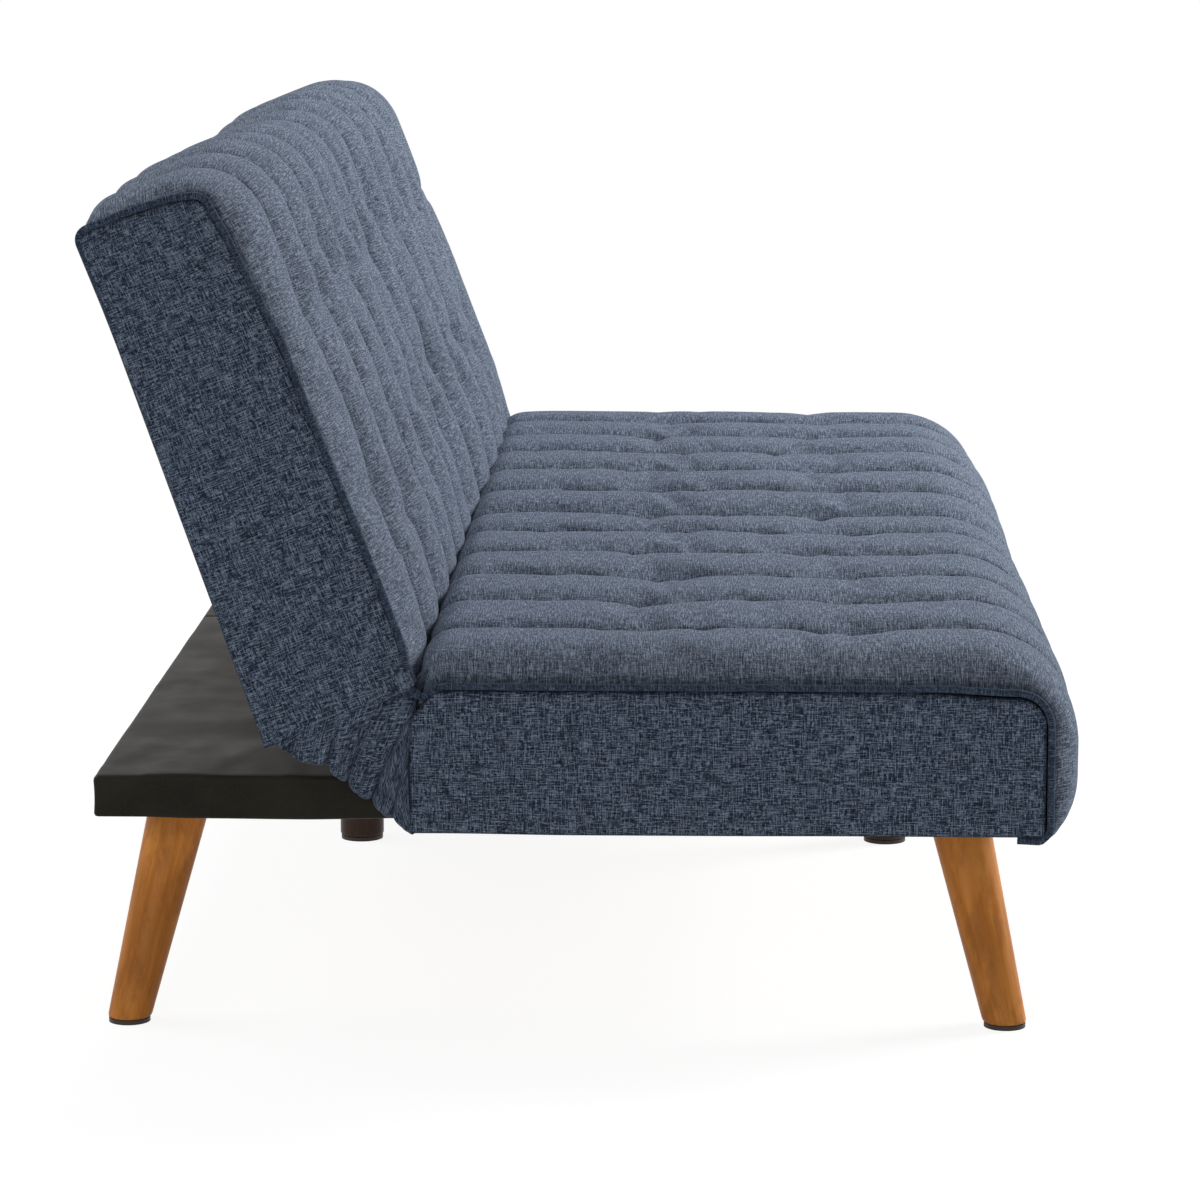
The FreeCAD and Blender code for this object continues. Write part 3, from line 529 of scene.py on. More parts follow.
def quilt(name, corners, turn, to_room, tufts, piping, seam, sharp, tuft, tuft_reach, ridge, dip, middle, crown, seed):
    """A cover quilted in channels: seams run along the path and sink at the tufts.

    seam gives a seam's depth below the crown, and sharp how steeply the outer channels fall to the piping's
    line, at a distance along the path. The higher ridge and dip are, the flatter a channel is between its seams
    and the less a tuft draws its middle down. middle is how much deeper the seam between the halves lies, and
    crown how much each half swells.
    """
    path, way, run = rounded_path(corners, STEP)
    down = run[:, None]
    channel, across = channel_columns()
    places, seams, sinks = seam_lines(run, tufts, seam, tuft, tuft_reach, seed)
    near = channel + (across >= 0)  # the seam that each column lies nearest to
    outer = (near == 0) | (near == CHANNELS)
    size = np.abs(across)
    gap = (1 - size) * PITCH / 2
    x = places[channel].T * (1 - across) / 2 + places[channel + 1].T * (1 + across) / 2
    rounded = np.where(outer, 1 - (1 - size ** 2) ** sharp(run)[:, None], 1 - (1 - size ** ridge) ** 0.52)
    level = 1 - rounded  # 1 along a channel's crown and 0 at its seams
    full = np.where(outer, level, 1)

    height = -rounded * seams[near].T - size ** dip * sinks[near].T
    height -= np.where(outer, 0, GROOVE) * np.exp(-gap / GROOVE_WIDTH)
    for t in tufts:
        pucker = np.sin((down - t) / (9 * MM) + 3 * noise(channel * 1.3, t * 7, seed + 12))
        height += (np.where(outer, 0, PUCKER) * pucker * bell(np.hypot(gap, 0.6 * (down - t)), 22 * MM)
                   * (1 - np.exp(-gap / (4 * MM))))
        height -= 0.3 * tuft / dip * bell(down - t, 1.2 * tuft_reach) * level
    slack = ramp(down, 20 * MM, 80 * MM) * ramp(run[-1] - down, 15 * MM, 90 * MM)  # none by the hems
    half = 1 - ((np.abs(x) - COVER_X / 2) / (COVER_X / 2)) ** 2
    height += slack * (crown * half * (1 - rounded * 0.5) - crown * 0.5 * full
                       + 1.5 * MM * noise(x / 0.16, down / 0.13, seed + 8) * full
                       + 0.5 * MM * noise(x / 0.045, down / 0.06, seed + 9) * level
                       - middle * size ** 2.4 * (near == CHANNELS // 2))
    height += FULLER * level * (ramp(x, -0.45, 0.45) - 0.5)

    outward = np.stack([way[:, 1], -way[:, 0]], 1) * turn
    hem = sewn_to(path, *piping)
    flat = path[:, None] + outward[:, None] * height[..., None]
    flat += np.where(outer, rounded, 0)[..., None] * (hem - path)[:, None]
    item = grid_object(name, to_room(x, flat[..., 0], flat[..., 1]), placed(x, down), flip=turn > 0)
    # Painted shade along each seam: a narrow dark line and a wider soft darkening where the groove lies in shade,
    # weaker on the outer channels.
    paint_shade(item, np.where(outer, 0.6, 1.0) * (0.8 * bell(gap, 3.2 * MM) + 0.3 * np.exp(-gap / (11 * MM))) + 0 * down)
    on_seam = np.isclose(size, 1)
    pinned = np.zeros(x.shape, bool)
    pinned[:, on_seam] = pinned[:2] = pinned[-3:] = True
    inflate(item, pinned.ravel())
    keep_crisp(item, len(channel), on_seam)
    return thicken(item, 4 * MM, 1)


def keep_crisp(item, cols, on_seam):
    """Creases the seams' edges, so that smoothing doesn't round them off."""
    edges = np.empty(len(item.data.edges) * 2, np.int32)
    item.data.edges.foreach_get("vertices", edges)
    first, second = edges.reshape(-1, 2).T % cols
    item.data.attributes.new("crease_edge", "FLOAT", "EDGE").data.foreach_set(
        "value", np.where((first == second) & on_seam[first], 0.85, 0.0).astype(np.float32))


def inflate(item, pinned, cap=4 * MM, frames=16):
    """Lets the cloth between pinned seams fill and wrinkle, and holds each point near where it was drawn."""
    scene = bpy.context.scene
    drawn = np.empty(len(item.data.vertices) * 3, np.float32)
    item.data.vertices.foreach_get("co", drawn)
    item.vertex_groups.new(name="held").add(np.nonzero(pinned)[0].tolist(), 1.0, "REPLACE")
    soft = item.modifiers.new("cloth", "CLOTH")
    for key, value in CLOTH.items():
        setattr(soft.settings, key, value)
    soft.settings.effector_weights.gravity = 0
    soft.collision_settings.use_collision = False
    soft.point_cache.frame_start = scene.frame_start = 1
    soft.point_cache.frame_end = scene.frame_end = frames
    for i in range(1, frames + 1):
        scene.frame_set(i)
    blown = np.empty_like(drawn)
    item.evaluated_get(bpy.context.evaluated_depsgraph_get()).data.vertices.foreach_get("co", blown)
    item.modifiers.clear()
    scene.frame_set(1)
    move = (blown - drawn).reshape(-1, 3)
    far = np.linalg.norm(move, axis=1)
    move *= (cap * np.tanh(far / cap) / np.maximum(far, 1e-9))[:, None]
    item.data.vertices.foreach_set("co", (drawn.reshape(-1, 3) + move).astype(np.float32).ravel())
    item.data.update()


def seat_piping_line():
    """Where the seat's piping runs, across the depth and height: the points and how far along each lies."""
    path, _, run = rounded_path([
        (136.5 * MM, 313 * MM, 0), (131 * MM, 315 * MM, 3 * MM), (SEAT_BACK_Y - 27 * MM, EDGE_Z - 0.3 * MM, 14 * MM),
        (NOSE_Y + 90 * MM, EDGE_Z - 0.5 * MM, 60 * MM), (NOSE_Y - 4 * MM, EDGE_Z - 4.5 * MM, 30 * MM),
        (NOSE_Y - 4.5 * MM, SKIRT_Z + 4 * MM, 8 * MM), (NOSE_Y + 4 * MM, SKIRT_Z - 4 * MM, 4 * MM),
        (NOSE_Y + 24 * MM, SKIRT_Z - 3 * MM, 0)], 2.6 * MM)
    return path, run


def back_piping_line():
    """Where the back's piping runs, in the upright back's depth and height."""
    path, _, run = rounded_path(np.array([
        (-10.5, 1.5, 0), (-2, 16, 7), (-12.5, 46, 40), (-13, 330, 200), (-3.5, 433, 200), (1.5, 468, 12),
        (28, 475.5, 60), (70, 478, 200), (115.5, 477, 10), (115, 395, 0)]) * MM, 2.2 * MM)
    return path, run


def seat_quilt():
    """The seat's cover, from the crease over the top and round the nose to its hem."""
    corners = [(SEAT_BACK_Y - 2 * MM, HINGE_Z - 11 * MM, 0), (SEAT_BACK_Y - 9 * MM, EDGE_Z - 8 * MM, 5 * MM),
               (SEAT_BACK_Y - 6 * MM, EDGE_Z + 15 * MM, 12 * MM), (SEAT_BACK_Y - 17 * MM, CROWN_Z + 1 * MM, 24 * MM),
               (FRONT_Y - 13 * MM, CROWN_Z, 84 * MM), (FRONT_Y - 10 * MM, SKIRT_Z + 24 * MM, 60 * MM),
               (FRONT_Y + 9 * MM, HEM_Z - 3 * MM, 10 * MM), (NOSE_Y + 8 * MM, HEM_Z - 1 * MM, 0)]
    path, _, run = rounded_path(corners, STEP)
    top = path[:, 1] > CROWN_Z - 4 * MM
    tufts = [float(np.interp(t, HINGE_Y - path[top, 0], run[top])) for t in TUFTS_SEAT]
    nose = float(run[np.argmax(path[:, 0] < FRONT_Y + 45 * MM)])

    def seam(s):
        return 10 * MM - 3 * MM * ramp(s, nose - 120 * MM, nose - 30 * MM) + 2 * MM * ramp(s, nose, nose + 60 * MM)

    item = quilt("seat_quilt", corners, 1, placed, tufts, seat_piping_line(), seam, lambda s: 0.5 + 0 * s,
                 tuft=8 * MM, tuft_reach=36 * MM, ridge=3.4, dip=4.0, middle=15 * MM, crown=5 * MM, seed=11)
    dress(item, "quilt_linen", "base", "seat_cover", "seat_foam")


def back_quilt():
    """The back's cover, from the crease up its face and over its top to the rear hem."""
    face, top, rear = -33 * MM, 498 * MM, 116 * MM
    corners = [(8 * MM, 5 * MM, 0), (-10 * MM, 5 * MM, 4 * MM), (-26 * MM, 36 * MM, 22 * MM),
               (face - 1 * MM, 110 * MM, 60 * MM), (face, top, 64 * MM), (rear, top, 30 * MM),
               (rear + 0.5 * MM, 455 * MM, 3 * MM), (rear - 12 * MM, 452 * MM, 0)]
    path, _, run = rounded_path(corners, STEP)
    up = path[:, 0] < face + 6 * MM
    tufts = [float(np.interp(t, path[up, 1], run[up])) for t in TUFTS_BACK]
    corner = float(run[np.argmin(np.abs(path[:, 1] - (top - 40 * MM)))])

    def seam(s):
        return 21 * MM - 13 * MM * ramp(s, corner - 60 * MM, corner + 50 * MM)

    def sharp(s):
        return 0.52 + 0.4 * ramp(s, corner, corner + 90 * MM)

    item = quilt("back_quilt", corners, -1, leaned, tufts, back_piping_line(), seam, sharp,
                 tuft=13 * MM, tuft_reach=52 * MM, ridge=2.3, dip=2.6, middle=8 * MM, crown=10 * MM, seed=23)
    dress(item, "quilt_linen", "backrest", "back_cover", "back_foam", "back_top_board")


def crease_cloth():
    """The strip that joins the seat's cover to the back's under the crease; a fold of it hides each hinge."""
    reach = PANEL_X - 3 * MM
    close = np.linspace(0, 96 * MM, 48)
    xs = np.concatenate([close - reach, np.linspace(-1, 1, 200) * (reach - 100 * MM), reach - close[::-1]])
    fold = ramp(abs(xs), 738 * MM, 772 * MM) * (1 - 0.8 * ramp(abs(xs), 818 * MM, reach))
    start = np.array([SEAT_BACK_Y - 1.5 * MM, HINGE_Z - 11.5 * MM])
    end = leaned(0.0, 10 * MM, 4 * MM)[1:]
    t = np.linspace(0, 1, 12)[:, None]
    arch = np.sin(math.pi * t) ** (1 - 0.4 * fold)
    ripple = 1.2 * MM * noise(xs / 0.05, 0.5, 81) + 0.8 * MM * noise(xs / 0.013, 2.5, 82)
    y = start[0] + (end[0] - start[0]) * t - arch * 22 * MM * fold
    z = start[1] + (end[1] - start[1]) * t - arch * (5 * MM - 37 * MM * fold + ripple)
    item = grid_object("crease_cloth", placed(xs, y, z), placed(xs, t * 22 * MM))
    # Painted shade: the whole strip is darkened, as it lies in the shadow of the crease.
    paint_shade(item, 0.8 + 0 * y)
    thicken(item, 1.0 * MM)
    dress(item, "quilt_linen", None)
    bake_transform(item)


# -------- end panels, piping and gussets
EDGE_DROP = 4.6 * MM  # how far a padded end falls back at its edges
# A gusset from the back's foot round to the seat's skirt: the share of the way, the hem's depth and height and
# the root's, and how far the lobe that follows bulges.
LOBES = np.array([
    (0, 271, 283, 270, 272, 2.0), (0.12, 247, 262, 240, 292, 4.5), (0.31, 216, 256, 203, 304, 6.5),
    (0.45, 199, 241, 172, 314, 6.5), (0.62, 178, 225, 140.5, 316, 5.5), (0.80, 161, 208, 147.5, 262, 2.0),
    (1.0, 144, 193, 147.5, 206, 0)])
# Its folds: the share of the way, the depth and the width.
FOLDS = ((0.12, 3.5, 0.022), (0.22, 2.5, 0.016), (0.31, 6, 0.021), (0.385, 3, 0.013), (0.45, 6.5, 0.020),
         (0.53, 3.5, 0.014), (0.62, 7, 0.022), (0.71, 3.5, 0.018), (0.80, 6, 0.024), (0.90, 2.5, 0.022))


def clustered(count):
    """Fractions from 0 to 1 that crowd towards the ends."""
    t = np.linspace(0, 1, count)
    return t - 0.97 * np.sin(2 * math.pi * t) / (2 * math.pi)


def slab(part, body, side, sign, ends, low, high, to_room, rows, cols, seed, width=1.0):
    """A padded board end: its cloth swells a little between its edges and wraps round to its inner face."""
    u = ends[0] + (ends[1] - ends[0]) * clustered(cols)
    low_v, high_v = low(u), high(u)
    places = np.broadcast_to(u, (rows, cols))
    uu, vv = places * width, low_v + (high_v - low_v) * clustered(rows)[:, None]
    near = np.maximum(np.minimum.reduce([vv - low_v, high_v - vv, uu - ends[0] * width, ends[1] * width - uu]), 0)
    soft = 1 - np.exp(-near / (2.2 * MM))
    bulge = EDGE_DROP * (soft - 1) + 1.0 * MM * (1 - np.exp(-near / (30 * MM))) + soft * (
        0.9 * MM * noise(uu / 0.09, vv / 0.07, seed) + 0.3 * MM * noise(uu / 0.025, vv / 0.03, seed + 1))
    verts = np.concatenate([to_room(sign * x, places, vv).reshape(-1, 3) for x in (PANEL_X + bulge, BOARD_IN_X)])
    count, flip = rows * cols, sign < 0
    loop = border(np.arange(count).reshape(rows, cols))
    following = np.roll(loop, -1)
    rim = np.stack([loop, loop + count, following + count, following], 1)
    faces = [grid_faces(rows, cols, flip=flip), grid_faces(rows, cols, flip=not flip, start=count),
             rim[:, ::-1] if flip else rim]
    flat = placed(uu, vv).reshape(-1, 2)
    item = mesh_object(f"{part}_end_{side}", verts, faces, np.concatenate([flat, flat + 0.31]))
    # Painted shade along the panel's edges, where the groove by the piping lies in shade; none on the inner face.
    paint_shade(item, np.concatenate([np.exp(-near.ravel() / (1.5 * MM)), np.zeros(count)]))
    dress(item, "end_linen", body, f"{part}_end_panel_{side}", f"{part}_end_board_{side}")


def seat_end(side, sign):
    """The seat's end: its top dips at a rounded nose in front and is cut back for the crease behind."""
    corner, drop = 25 * MM, 5 * MM
    nose = NOSE_Y + corner

    def high(y):
        fall = drop * ramp(-y, -(nose + 90 * MM), -nose)
        arc = corner - np.sqrt(np.maximum(corner ** 2 - (nose - np.minimum(y, nose)) ** 2, 0))
        behind = np.maximum(y - (SEAT_BACK_Y - 24 * MM), 0) * (25 / 24)
        return EDGE_Z - 4 * MM - fall - np.where(y < nose, arc, 0) - behind

    def low(y):
        return SKIRT_Z + 0.9 * MM * noise(y / 0.12, 0.3, 3)

    slab("seat", "base", side, sign, (NOSE_Y, SEAT_BACK_Y), low, high, placed, rows=44, cols=96, seed=31)


def back_end(side, sign):
    """The back's end: its front edge leans back towards a soft top corner, and its foot is cut for the crease."""
    foot, front, rear = 8 * MM, -11 * MM, 132 * MM

    def front_at(height):
        return np.interp(height / MM, (0, 300, 355, 392, 414, 433, 458), (-11, -11, -9, -6, -3.5, -0.5, 3)) * MM

    def rear_at(height):
        return np.interp(height / MM, (foot / MM, 376, 440, 466, 480), (132, 119, 118, 117, 111)) * MM

    def high(share):
        return np.interp(3 + share * 111, (3, 4.5, 7, 10, 14, 20, 30, 52, 75, 107, 111, 114),
                         (456, 461, 464, 466.5, 468, 470, 472, 473.8, 474.8, 474.8, 473.8, 470)) * MM

    def low(share):
        return foot + 6 * MM * (1 - ramp(share, 0, 0.05))

    def to_room(x, share, height):
        return leaned(x, front_at(height) + share * (rear_at(height) - front_at(height)), height)

    slab("back", "backrest", side, sign, (0, 1), low, high, to_room, rows=96, cols=44, seed=37, width=rear - front)


def pipings(side, sign):
    """Cord piping: one length round the seat's end and one round the back's, which meet low in the crease."""
    x = sign * (PANEL_X - 3.6 * MM)
    path, run = seat_piping_line()
    wave = 0.9 * MM * noise(run / 0.05, 1.5, 41) * ramp(run, 0, 60 * MM) * (path[:, 1] > EDGE_Z - 13 * MM)
    seat = placed(x, path[:, 0], path[:, 1] + wave)
    path, run = back_piping_line()
    wave = 1.0 * MM * noise(run / 0.055, 4.5, 43) * ramp(run, 0, 60 * MM) * ramp(run[-1] - run, 0, 120 * MM)
    back = leaned(x, path[:, 0] + wave, path[:, 1])
    for part, body, line in (("seat", "base", seat), ("back", "backrest", back)):
        item = tube(f"{part}_piping_cord_{side}", line, CORD_R)
        dress(item, "piping_linen", body, f"{part}_piping_{side}")


def gusset(side, sign):
    """Cloth gathered from the back's foot and the seat's rear edge, in slanting folds, to a hem of uneven lobes."""
    shares, hem, root, bulges = LOBES[:, 0], LOBES[:, 1:3] * MM, LOBES[:, 3:5] * MM, LOBES[:, 5] * MM
    share, out = np.linspace(0, 1, 281), np.linspace(0, 1, 48)[:, None]
    start, end = point_at(share, shares, root), point_at(share, shares, hem)
    at_lobe = np.clip(np.searchsorted(shares, share, side="right") - 1, 0, len(shares) - 2)
    within = (share - shares[at_lobe]) / (shares[at_lobe + 1] - shares[at_lobe])
    lobe = np.sqrt(np.maximum(1 - (2 * within - 1) ** 2, 0))
    length = np.linalg.norm(end - start, axis=1)
    way = (end - start) / length[:, None]
    end = end + way * (lobe * bulges[at_lobe])[:, None]

    lift = ramp(share, 0, 0.2) * ramp(1 - share, 0, 0.12)
    x = PANEL_X - 3 * MM - 6 * MM * (1 - ramp(out, 0, 0.12)) - 9 * MM * np.clip((out - 0.88) / 0.12, 0, 1) ** 2
    x = x + 4.5 * MM * lift * np.sin(math.pi * out ** 0.75) + 3.0 * MM * lobe * lift * out ** 1.2
    x += 0.8 * MM * noise(share * 30, out * 7, 53) * np.clip(out * 2, 0, 1)
    crease = 0 * x
    for k, (at, deep, wide) in enumerate(FOLDS):
        drift = at + 0.022 * noise(out * 2.2, k * 1.7, 51) * (1 - out)
        reach = 0.25 + 0.9 * out if deep < 5 else 0.12 + out
        x -= deep * MM * np.clip(reach, 0, 1) * bell(share - drift, wide)
        # Painted shade in the folds: darker the deeper the fold and nearer the hem, stored for the linen to read.
        crease = np.maximum(crease, 0.045 * deep * out * bell(share - at, 0.4 * wide))

    sag = np.array([0.5, -0.85]) * 4 * MM
    flat = start + (end - start) * out[..., None] + np.sin(math.pi * out)[..., None] * sag * lift[:, None]
    item = grid_object(f"gusset_cloth_{side}", placed(sign * x, flat[..., 0], flat[..., 1]),
                       placed(share * 0.20, out * length), flip=sign > 0)
    paint_shade(item, crease)
    thicken(item, 1.6 * MM)
    dress(item, "end_linen", None, f"gusset_{side}")
    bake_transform(item)


# -------- base, legs and the cloth behind
# Pulls in the base's cloth: first seed, count, ranges of place outwards and in depth, of turn and of height in mm,
# then the length and the range of width.
WRINKLES = ((600, 9, (0.80, 0.70), (0.17, 0.39), (-0.25, 0.25), (1.2, 2.6), 0.06, (0.006, 0.010)),
            (700, 26, (0.05, 0.80), (0.16, 0.42), (-0.5, 0.5), (0.5, 1.2), 0.05, (0.004, 0.004)))


def wrinkles(outer_x, y):
    """How high the pulls in the base's cloth stand at places from the middle outwards and along the depth."""
    height = 0 * y
    for seed, count, outwards, deep, turn, tall, length, wide in WRINKLES:
        for i in range(count):
            rng = np.random.default_rng(seed + i)
            at_x, at_y, angle, rise, width = (a + (b - a) * rng.random() for a, b in (outwards, deep, turn, tall, wide))
            along = (outer_x - at_x) * math.cos(angle) + (y - at_y) * math.sin(angle)
            aside = (y - at_y) * math.cos(angle) - (outer_x - at_x) * math.sin(angle)
            height = height + rise * MM * bell(along, length) * bell(aside, width)
    return height


def fanned_edge(rows, cols):
    """The vertices round a grid's edge with the way out at each; a corner comes six times, with a fan of ways."""
    ring, ways = [], []
    for i in border(np.arange(rows * cols).reshape(rows, cols)):
        row, col = divmod(int(i), cols)
        way = ((col == cols - 1) - (col == 0), (row == rows - 1) - (row == 0))
        for turn in np.linspace(-math.pi / 4, math.pi / 4, 6) if all(way) else (0,):
            angle = math.atan2(way[1], way[0]) + turn
            ring.append(int(i))
            ways.append((math.cos(angle), math.sin(angle)))
    return np.array(ring), np.array(ways)


def base_wrap(side, sign):
    """One half of the base in its thin stretched cloth, with fine pulls in it, turned under all round."""
    low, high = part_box(f"base_wrap_{side}")
    proud, r, count = 1.6 * MM, 5 * MM, 92
    inner, outer_x = sign * 0.4 * MM, (high if sign > 0 else low).x + sign * proud
    xs = np.linspace(min(inner, outer_x) + r, max(inner, outer_x) - r, count)
    gx, gy = np.meshgrid(xs, np.linspace(low.y - proud + r, high.y + proud - r, count))
    pulls = ramp(gy, 0.10, 0.36) * (wrinkles(abs(gx), gy) + 0.6 * MM * noise(gx / 0.07, gy / 0.05, 61))
    top = placed(gx, gy, high.z + 0.2 * MM + np.clip(pulls, -0.5 * MM, 1.4 * MM)).reshape(-1, 3)

    ring, ways = fanned_edge(count, count)
    start, foot = top[ring], low.z + 0 * ring
    run = distance_along(start[:, :2] + ways * r)
    wave = 0.5 * MM * noise(run / 0.05, 0.5, 63) + 0.35 * MM * noise(run / 0.018, 1.5, 64)
    hang = np.maximum(0, 2.0 * MM * noise(run / 0.09, 3.5, 65))
    profile = [(r * math.sin(a), start[:, 2] - r * (1 - math.cos(a))) for a in np.linspace(0, math.pi / 2, 5)[1:]]
    for t in np.linspace(0, 1, 7)[1:]:
        profile.append((r + (1.3 * wave - 0.4 * MM) * math.sin(math.pi * t),
                        (start[:, 2] - r) * (1 - t) + (foot + 3 * MM) * t))
    profile += [(r - 1 * MM, foot + 0.8 * MM - hang * 0.5), (r - 4 * MM, foot - hang),
                (r - 24 * MM, foot + 0.3 * MM - hang * 0.3), (r - 42 * MM, foot + 0.4 * MM)]

    verts, flats, faces = [top], [top[:, :2]], [grid_faces(count, count)]
    total, previous, last_z, length = len(top), ring, start[:, 2], 0.6
    for out, z in profile:
        here = total + np.arange(len(ring))
        quads = np.stack([np.roll(previous, -1), previous, here, np.roll(here, -1)], 1)
        fan = quads[:, 0] == quads[:, 1]
        faces += [quads[~fan]] + ([quads[fan][:, [0, 2, 3]]] if fan.any() else [])
        verts.append(np.column_stack([start[:, :2] + ways * np.reshape(out, (-1, 1)), z]))
        length += np.abs(z - last_z).mean() + 1 * MM
        flats.append(np.column_stack([run, length + 0 * run]))
        total, previous, last_z = total + len(ring), here, z
    item = mesh_object(f"base_cloth_{side}", np.concatenate(verts), faces, np.concatenate(flats))
    thicken(item, 0.8 * MM)
    dress(item, "black_cloth", "base", f"base_wrap_{side}")


def leg(name, foot, head, foot_r, head_r, slot, z0, z1):
    """A turned leg, round at every level, that leans from its foot to its head."""
    sides, tall = 48, (z1 - z0) / MM
    heights = np.concatenate([[0, 0.3, 1.2, 3.0], np.linspace(5, tall - 1, 26), [tall]]) * MM
    t = (heights / (z1 - z0))[:, None]
    radius = foot_r + (head_r - foot_r) * t
    radius[:3] -= np.array([[3.0], [1.6], [0.5]]) * MM
    angle = np.linspace(0, 2 * math.pi, sides, endpoint=False)
    x, y = (a * (1 - t) + b * t + turn(angle) * radius for a, b, turn in zip(foot, head, (np.cos, np.sin)))
    verts = np.concatenate([placed(x, y, (z0 + heights)[:, None]).reshape(-1, 3), [[*foot, z0]], [[*head, z1]]])
    around = np.where(angle < math.pi, angle, 2 * math.pi - angle) * 24 * MM
    cloth = placed(around + foot[0] * 0.7 + foot[1], heights[:, None])
    item = mesh_object(name + "_turned", verts, tube_faces(len(heights), sides),
                       np.concatenate([cloth.reshape(-1, 2), np.zeros((2, 2))]))
    dress(item, slot, "base", name)


def legs():
    """The four splayed legs at the corners and the two straight ones under the middle."""
    for side, sign in SIDES:
        for row, outwards in (("front", -1), ("rear", 1)):
            name = f"leg_{row}_{side}"
            low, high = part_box(name)
            foot_r, head_r, splay = 19.5 * MM, 28 * MM, 45 * MM
            foot_x = (high.x if sign > 0 else low.x) - sign * foot_r
            foot_y = (high.y if outwards > 0 else low.y) - outwards * foot_r
            leg(name, (foot_x, foot_y), (foot_x - sign * splay, foot_y - outwards * splay), foot_r, head_r,
                "leg_wood", low.z, high.z)
    for row in ("front", "rear"):
        name = f"centre_leg_{row}"
        low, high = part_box(name)
        middle = (0.0, (low.y + high.y) / 2)
        leg(name, middle, middle, 23 * MM, 23 * MM, "centre_leg_wood", low.z, high.z)


def dust_cover():
    """The thin cloth stapled behind the back, slack between its edges."""
    x0, x1 = (corner.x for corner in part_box("back_dust_cover"))
    low, high = 22 * MM, 451 * MM
    gx, gu = np.meshgrid(np.linspace(x0, x1, 220), np.linspace(low, high, 60))
    slack = ramp(np.minimum.reduce([gx - x0, x1 - gx, gu - low, high - gu]), 0, 60 * MM)
    edge_pull = np.cos(gx / 0.06 * 2 * math.pi) * bell(np.minimum(gu - low, high - gu), 30 * MM) * 0.6 * MM
    sag = slack * (2.0 * MM * noise(gx / 0.22, gu / 0.2, 71) + 0.7 * MM * noise(gx / 0.05, gu / 0.12, 72)) + edge_pull
    item = grid_object("back_dust_cloth", leaned(gx, 66.4 * MM + np.clip(sag, -0.3 * MM, 0.8 * MM), gu),
                       placed(gx, gu), flip=True)
    thicken(item, 0.8 * MM, offset=1)
    dress(item, "black_cloth", "backrest", "back_dust_cover")


def rear_cloth():
    """The thin cloth stapled over the seat's rear rail, between the hinges."""
    low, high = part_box("seat_rear_rail")
    reach, foot, top = 772 * MM, low.z + 3 * MM, high.z - 2 * MM
    gx, gz = np.meshgrid(np.linspace(-reach, reach, 200), np.linspace(foot, top, 14))
    near = np.minimum.reduce([gx + reach, reach - gx, gz - foot, top - gz])
    slack = ramp(near, 0, 25 * MM) * (0.6 * MM + 0.5 * MM * noise(gx / 0.07, gz / 0.03, 91))
    item = grid_object("seat_rear_cloth", placed(gx, high.y + 0.4 * MM + slack, gz), placed(gx, gz), flip=True)
    thicken(item, 0.8 * MM, offset=1)
    dress(item, "black_cloth", "base")


seat_quilt()
back_quilt()
crease_cloth()
for side, sign in SIDES:
    seat_end(side, sign)
    back_end(side, sign)
    pipings(side, sign)
    gusset(side, sign)
    base_wrap(side, sign)
legs()
dust_cover()
rear_cloth()


# -------- room, light and camera
def show(tree, output, seen, plain, *rays):
    """Outputs what these kinds of ray see, and a plain shader for the others."""
    path = new_node(tree, "LightPath")
    share = path.outputs[rays[0]]
    for ray in rays[1:]:
        share = new_node(tree, "Math", {"operation": "MAXIMUM"}, _0=share, _1=path.outputs[ray]).outputs[0]
    mixer = new_node(tree, "MixShader", _0=share, _1=plain.outputs[0], _2=seen.outputs[0])
    new_node(tree, output, Surface=mixer.outputs[0])


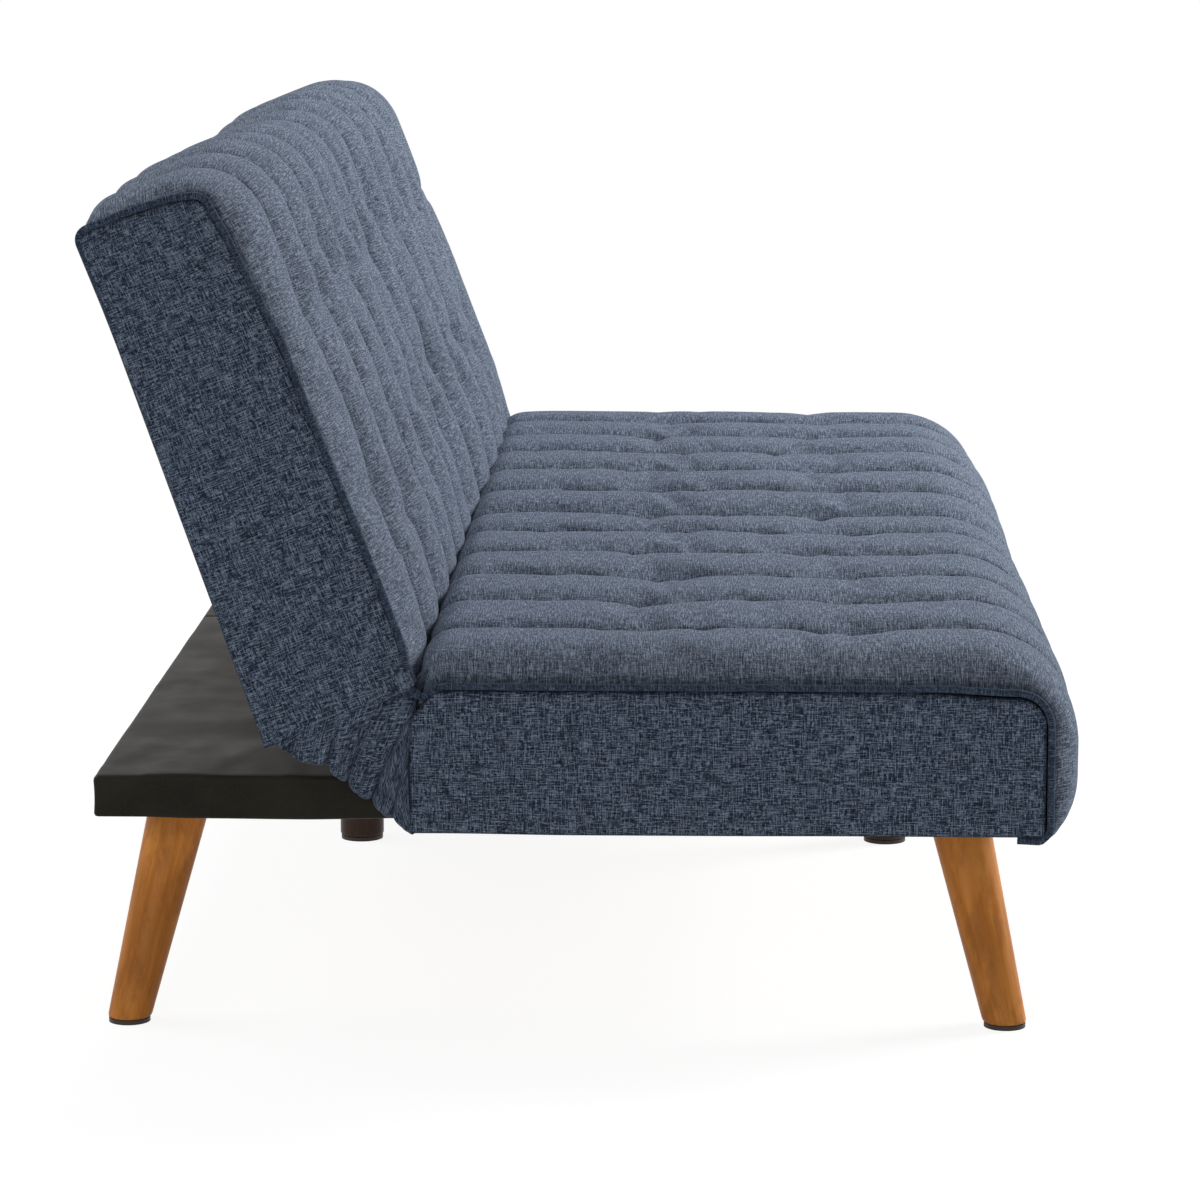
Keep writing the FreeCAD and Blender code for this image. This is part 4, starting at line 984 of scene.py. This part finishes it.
def floor_paint():
    """A pale floor for the light; to the camera it glows under the sofa's shadow, and is white further out."""
    floor = bpy.data.materials.new("studio_floor")
    floor.use_nodes = True
    tree = floor.node_tree
    tree.nodes.clear()
    plain = new_node(tree, "BsdfDiffuse", Color=(0.78, 0.78, 0.78, 1))
    white = new_node(tree, "Emission")
    glow = new_node(tree, "Emission", Strength=0.90)
    dim = new_node(tree, "BsdfDiffuse", Color=(0.2, 0.2, 0.2, 1))
    seen = new_node(tree, "AddShader", _0=glow.outputs[0], _1=dim.outputs[0])
    away = new_node(tree, "VectorMath", {"operation": "LENGTH"}, _0=new_node(tree, "TexCoord").outputs["Object"])
    fade = new_node(tree, "MapRange", Value=away.outputs["Value"], _1=1.1, _2=2.3, _3=0.0, _4=1.0)
    seen = new_node(tree, "MixShader", _0=fade.outputs["Result"], _1=seen.outputs[0], _2=white.outputs[0])
    show(tree, "OutputMaterial", seen, plain, "Is Camera Ray", "Is Glossy Ray")
    return floor


def room():
    """The floor, and a dim sky that the camera sees as white."""
    ground = mesh_object("studio_ground", [(-14, -14, 0), (14, -14, 0), (14, 14, 0), (-14, 14, 0)], [[(0, 1, 2, 3)]])
    ground.data.materials.append(floor_paint())
    world = bpy.data.worlds.new("studio")
    bpy.context.scene.world = world
    world.use_nodes = True
    tree = world.node_tree
    tree.nodes.clear()
    sky = new_node(tree, "Background", Color=(0.93, 0.96, 1, 1), Strength=0.14)
    white = new_node(tree, "Background", Color=(1, 1, 1, 1), Strength=1.0)
    show(tree, "OutputWorld", white, sky, "Is Camera Ray", "Is Transmission Ray", "Is Glossy Ray")


def lamp(name, at, target, size, power):
    """An area lamp that faces a target."""
    light = bpy.data.lights.new(name, "AREA")
    light.shape, light.energy = "RECTANGLE", power
    light.size, light.size_y = size
    item = add_object(name, light)
    item.location = at
    item.rotation_euler = (Vector(target) - Vector(at)).to_track_quat("-Z", "Y").to_euler()


room()
lamp("key", (1.7, -4.1, 2.0), (0, 0, 0.3), (1.8, 1.5), 205)
lamp("top", (1.4, 0.2, 4.2), (0, 0, 0.3), (2.2, 2.0), 66)
lamp("end_fill", (-4.2, 1.0, 1.4), (-0.8, 0.1, 0.3), (2.4, 1.5), 28)
lamp("rear_fill", (0.9, 4.0, 3.0), (0, 0.2, 0.4), (3.2, 2.2), 80)

lens = bpy.data.cameras.new("view")
lens.lens, lens.sensor_width, lens.clip_end = 127.5, 36, 60
eye = add_object("view", lens)
eye.location = (-4.4145, -0.1058, 1.0032)
eye.rotation_euler = math.radians(80.41), 0, math.radians(-88.59)
bpy.context.scene.camera = eye
bpy.context.scene.view_settings.view_transform = "Standard"
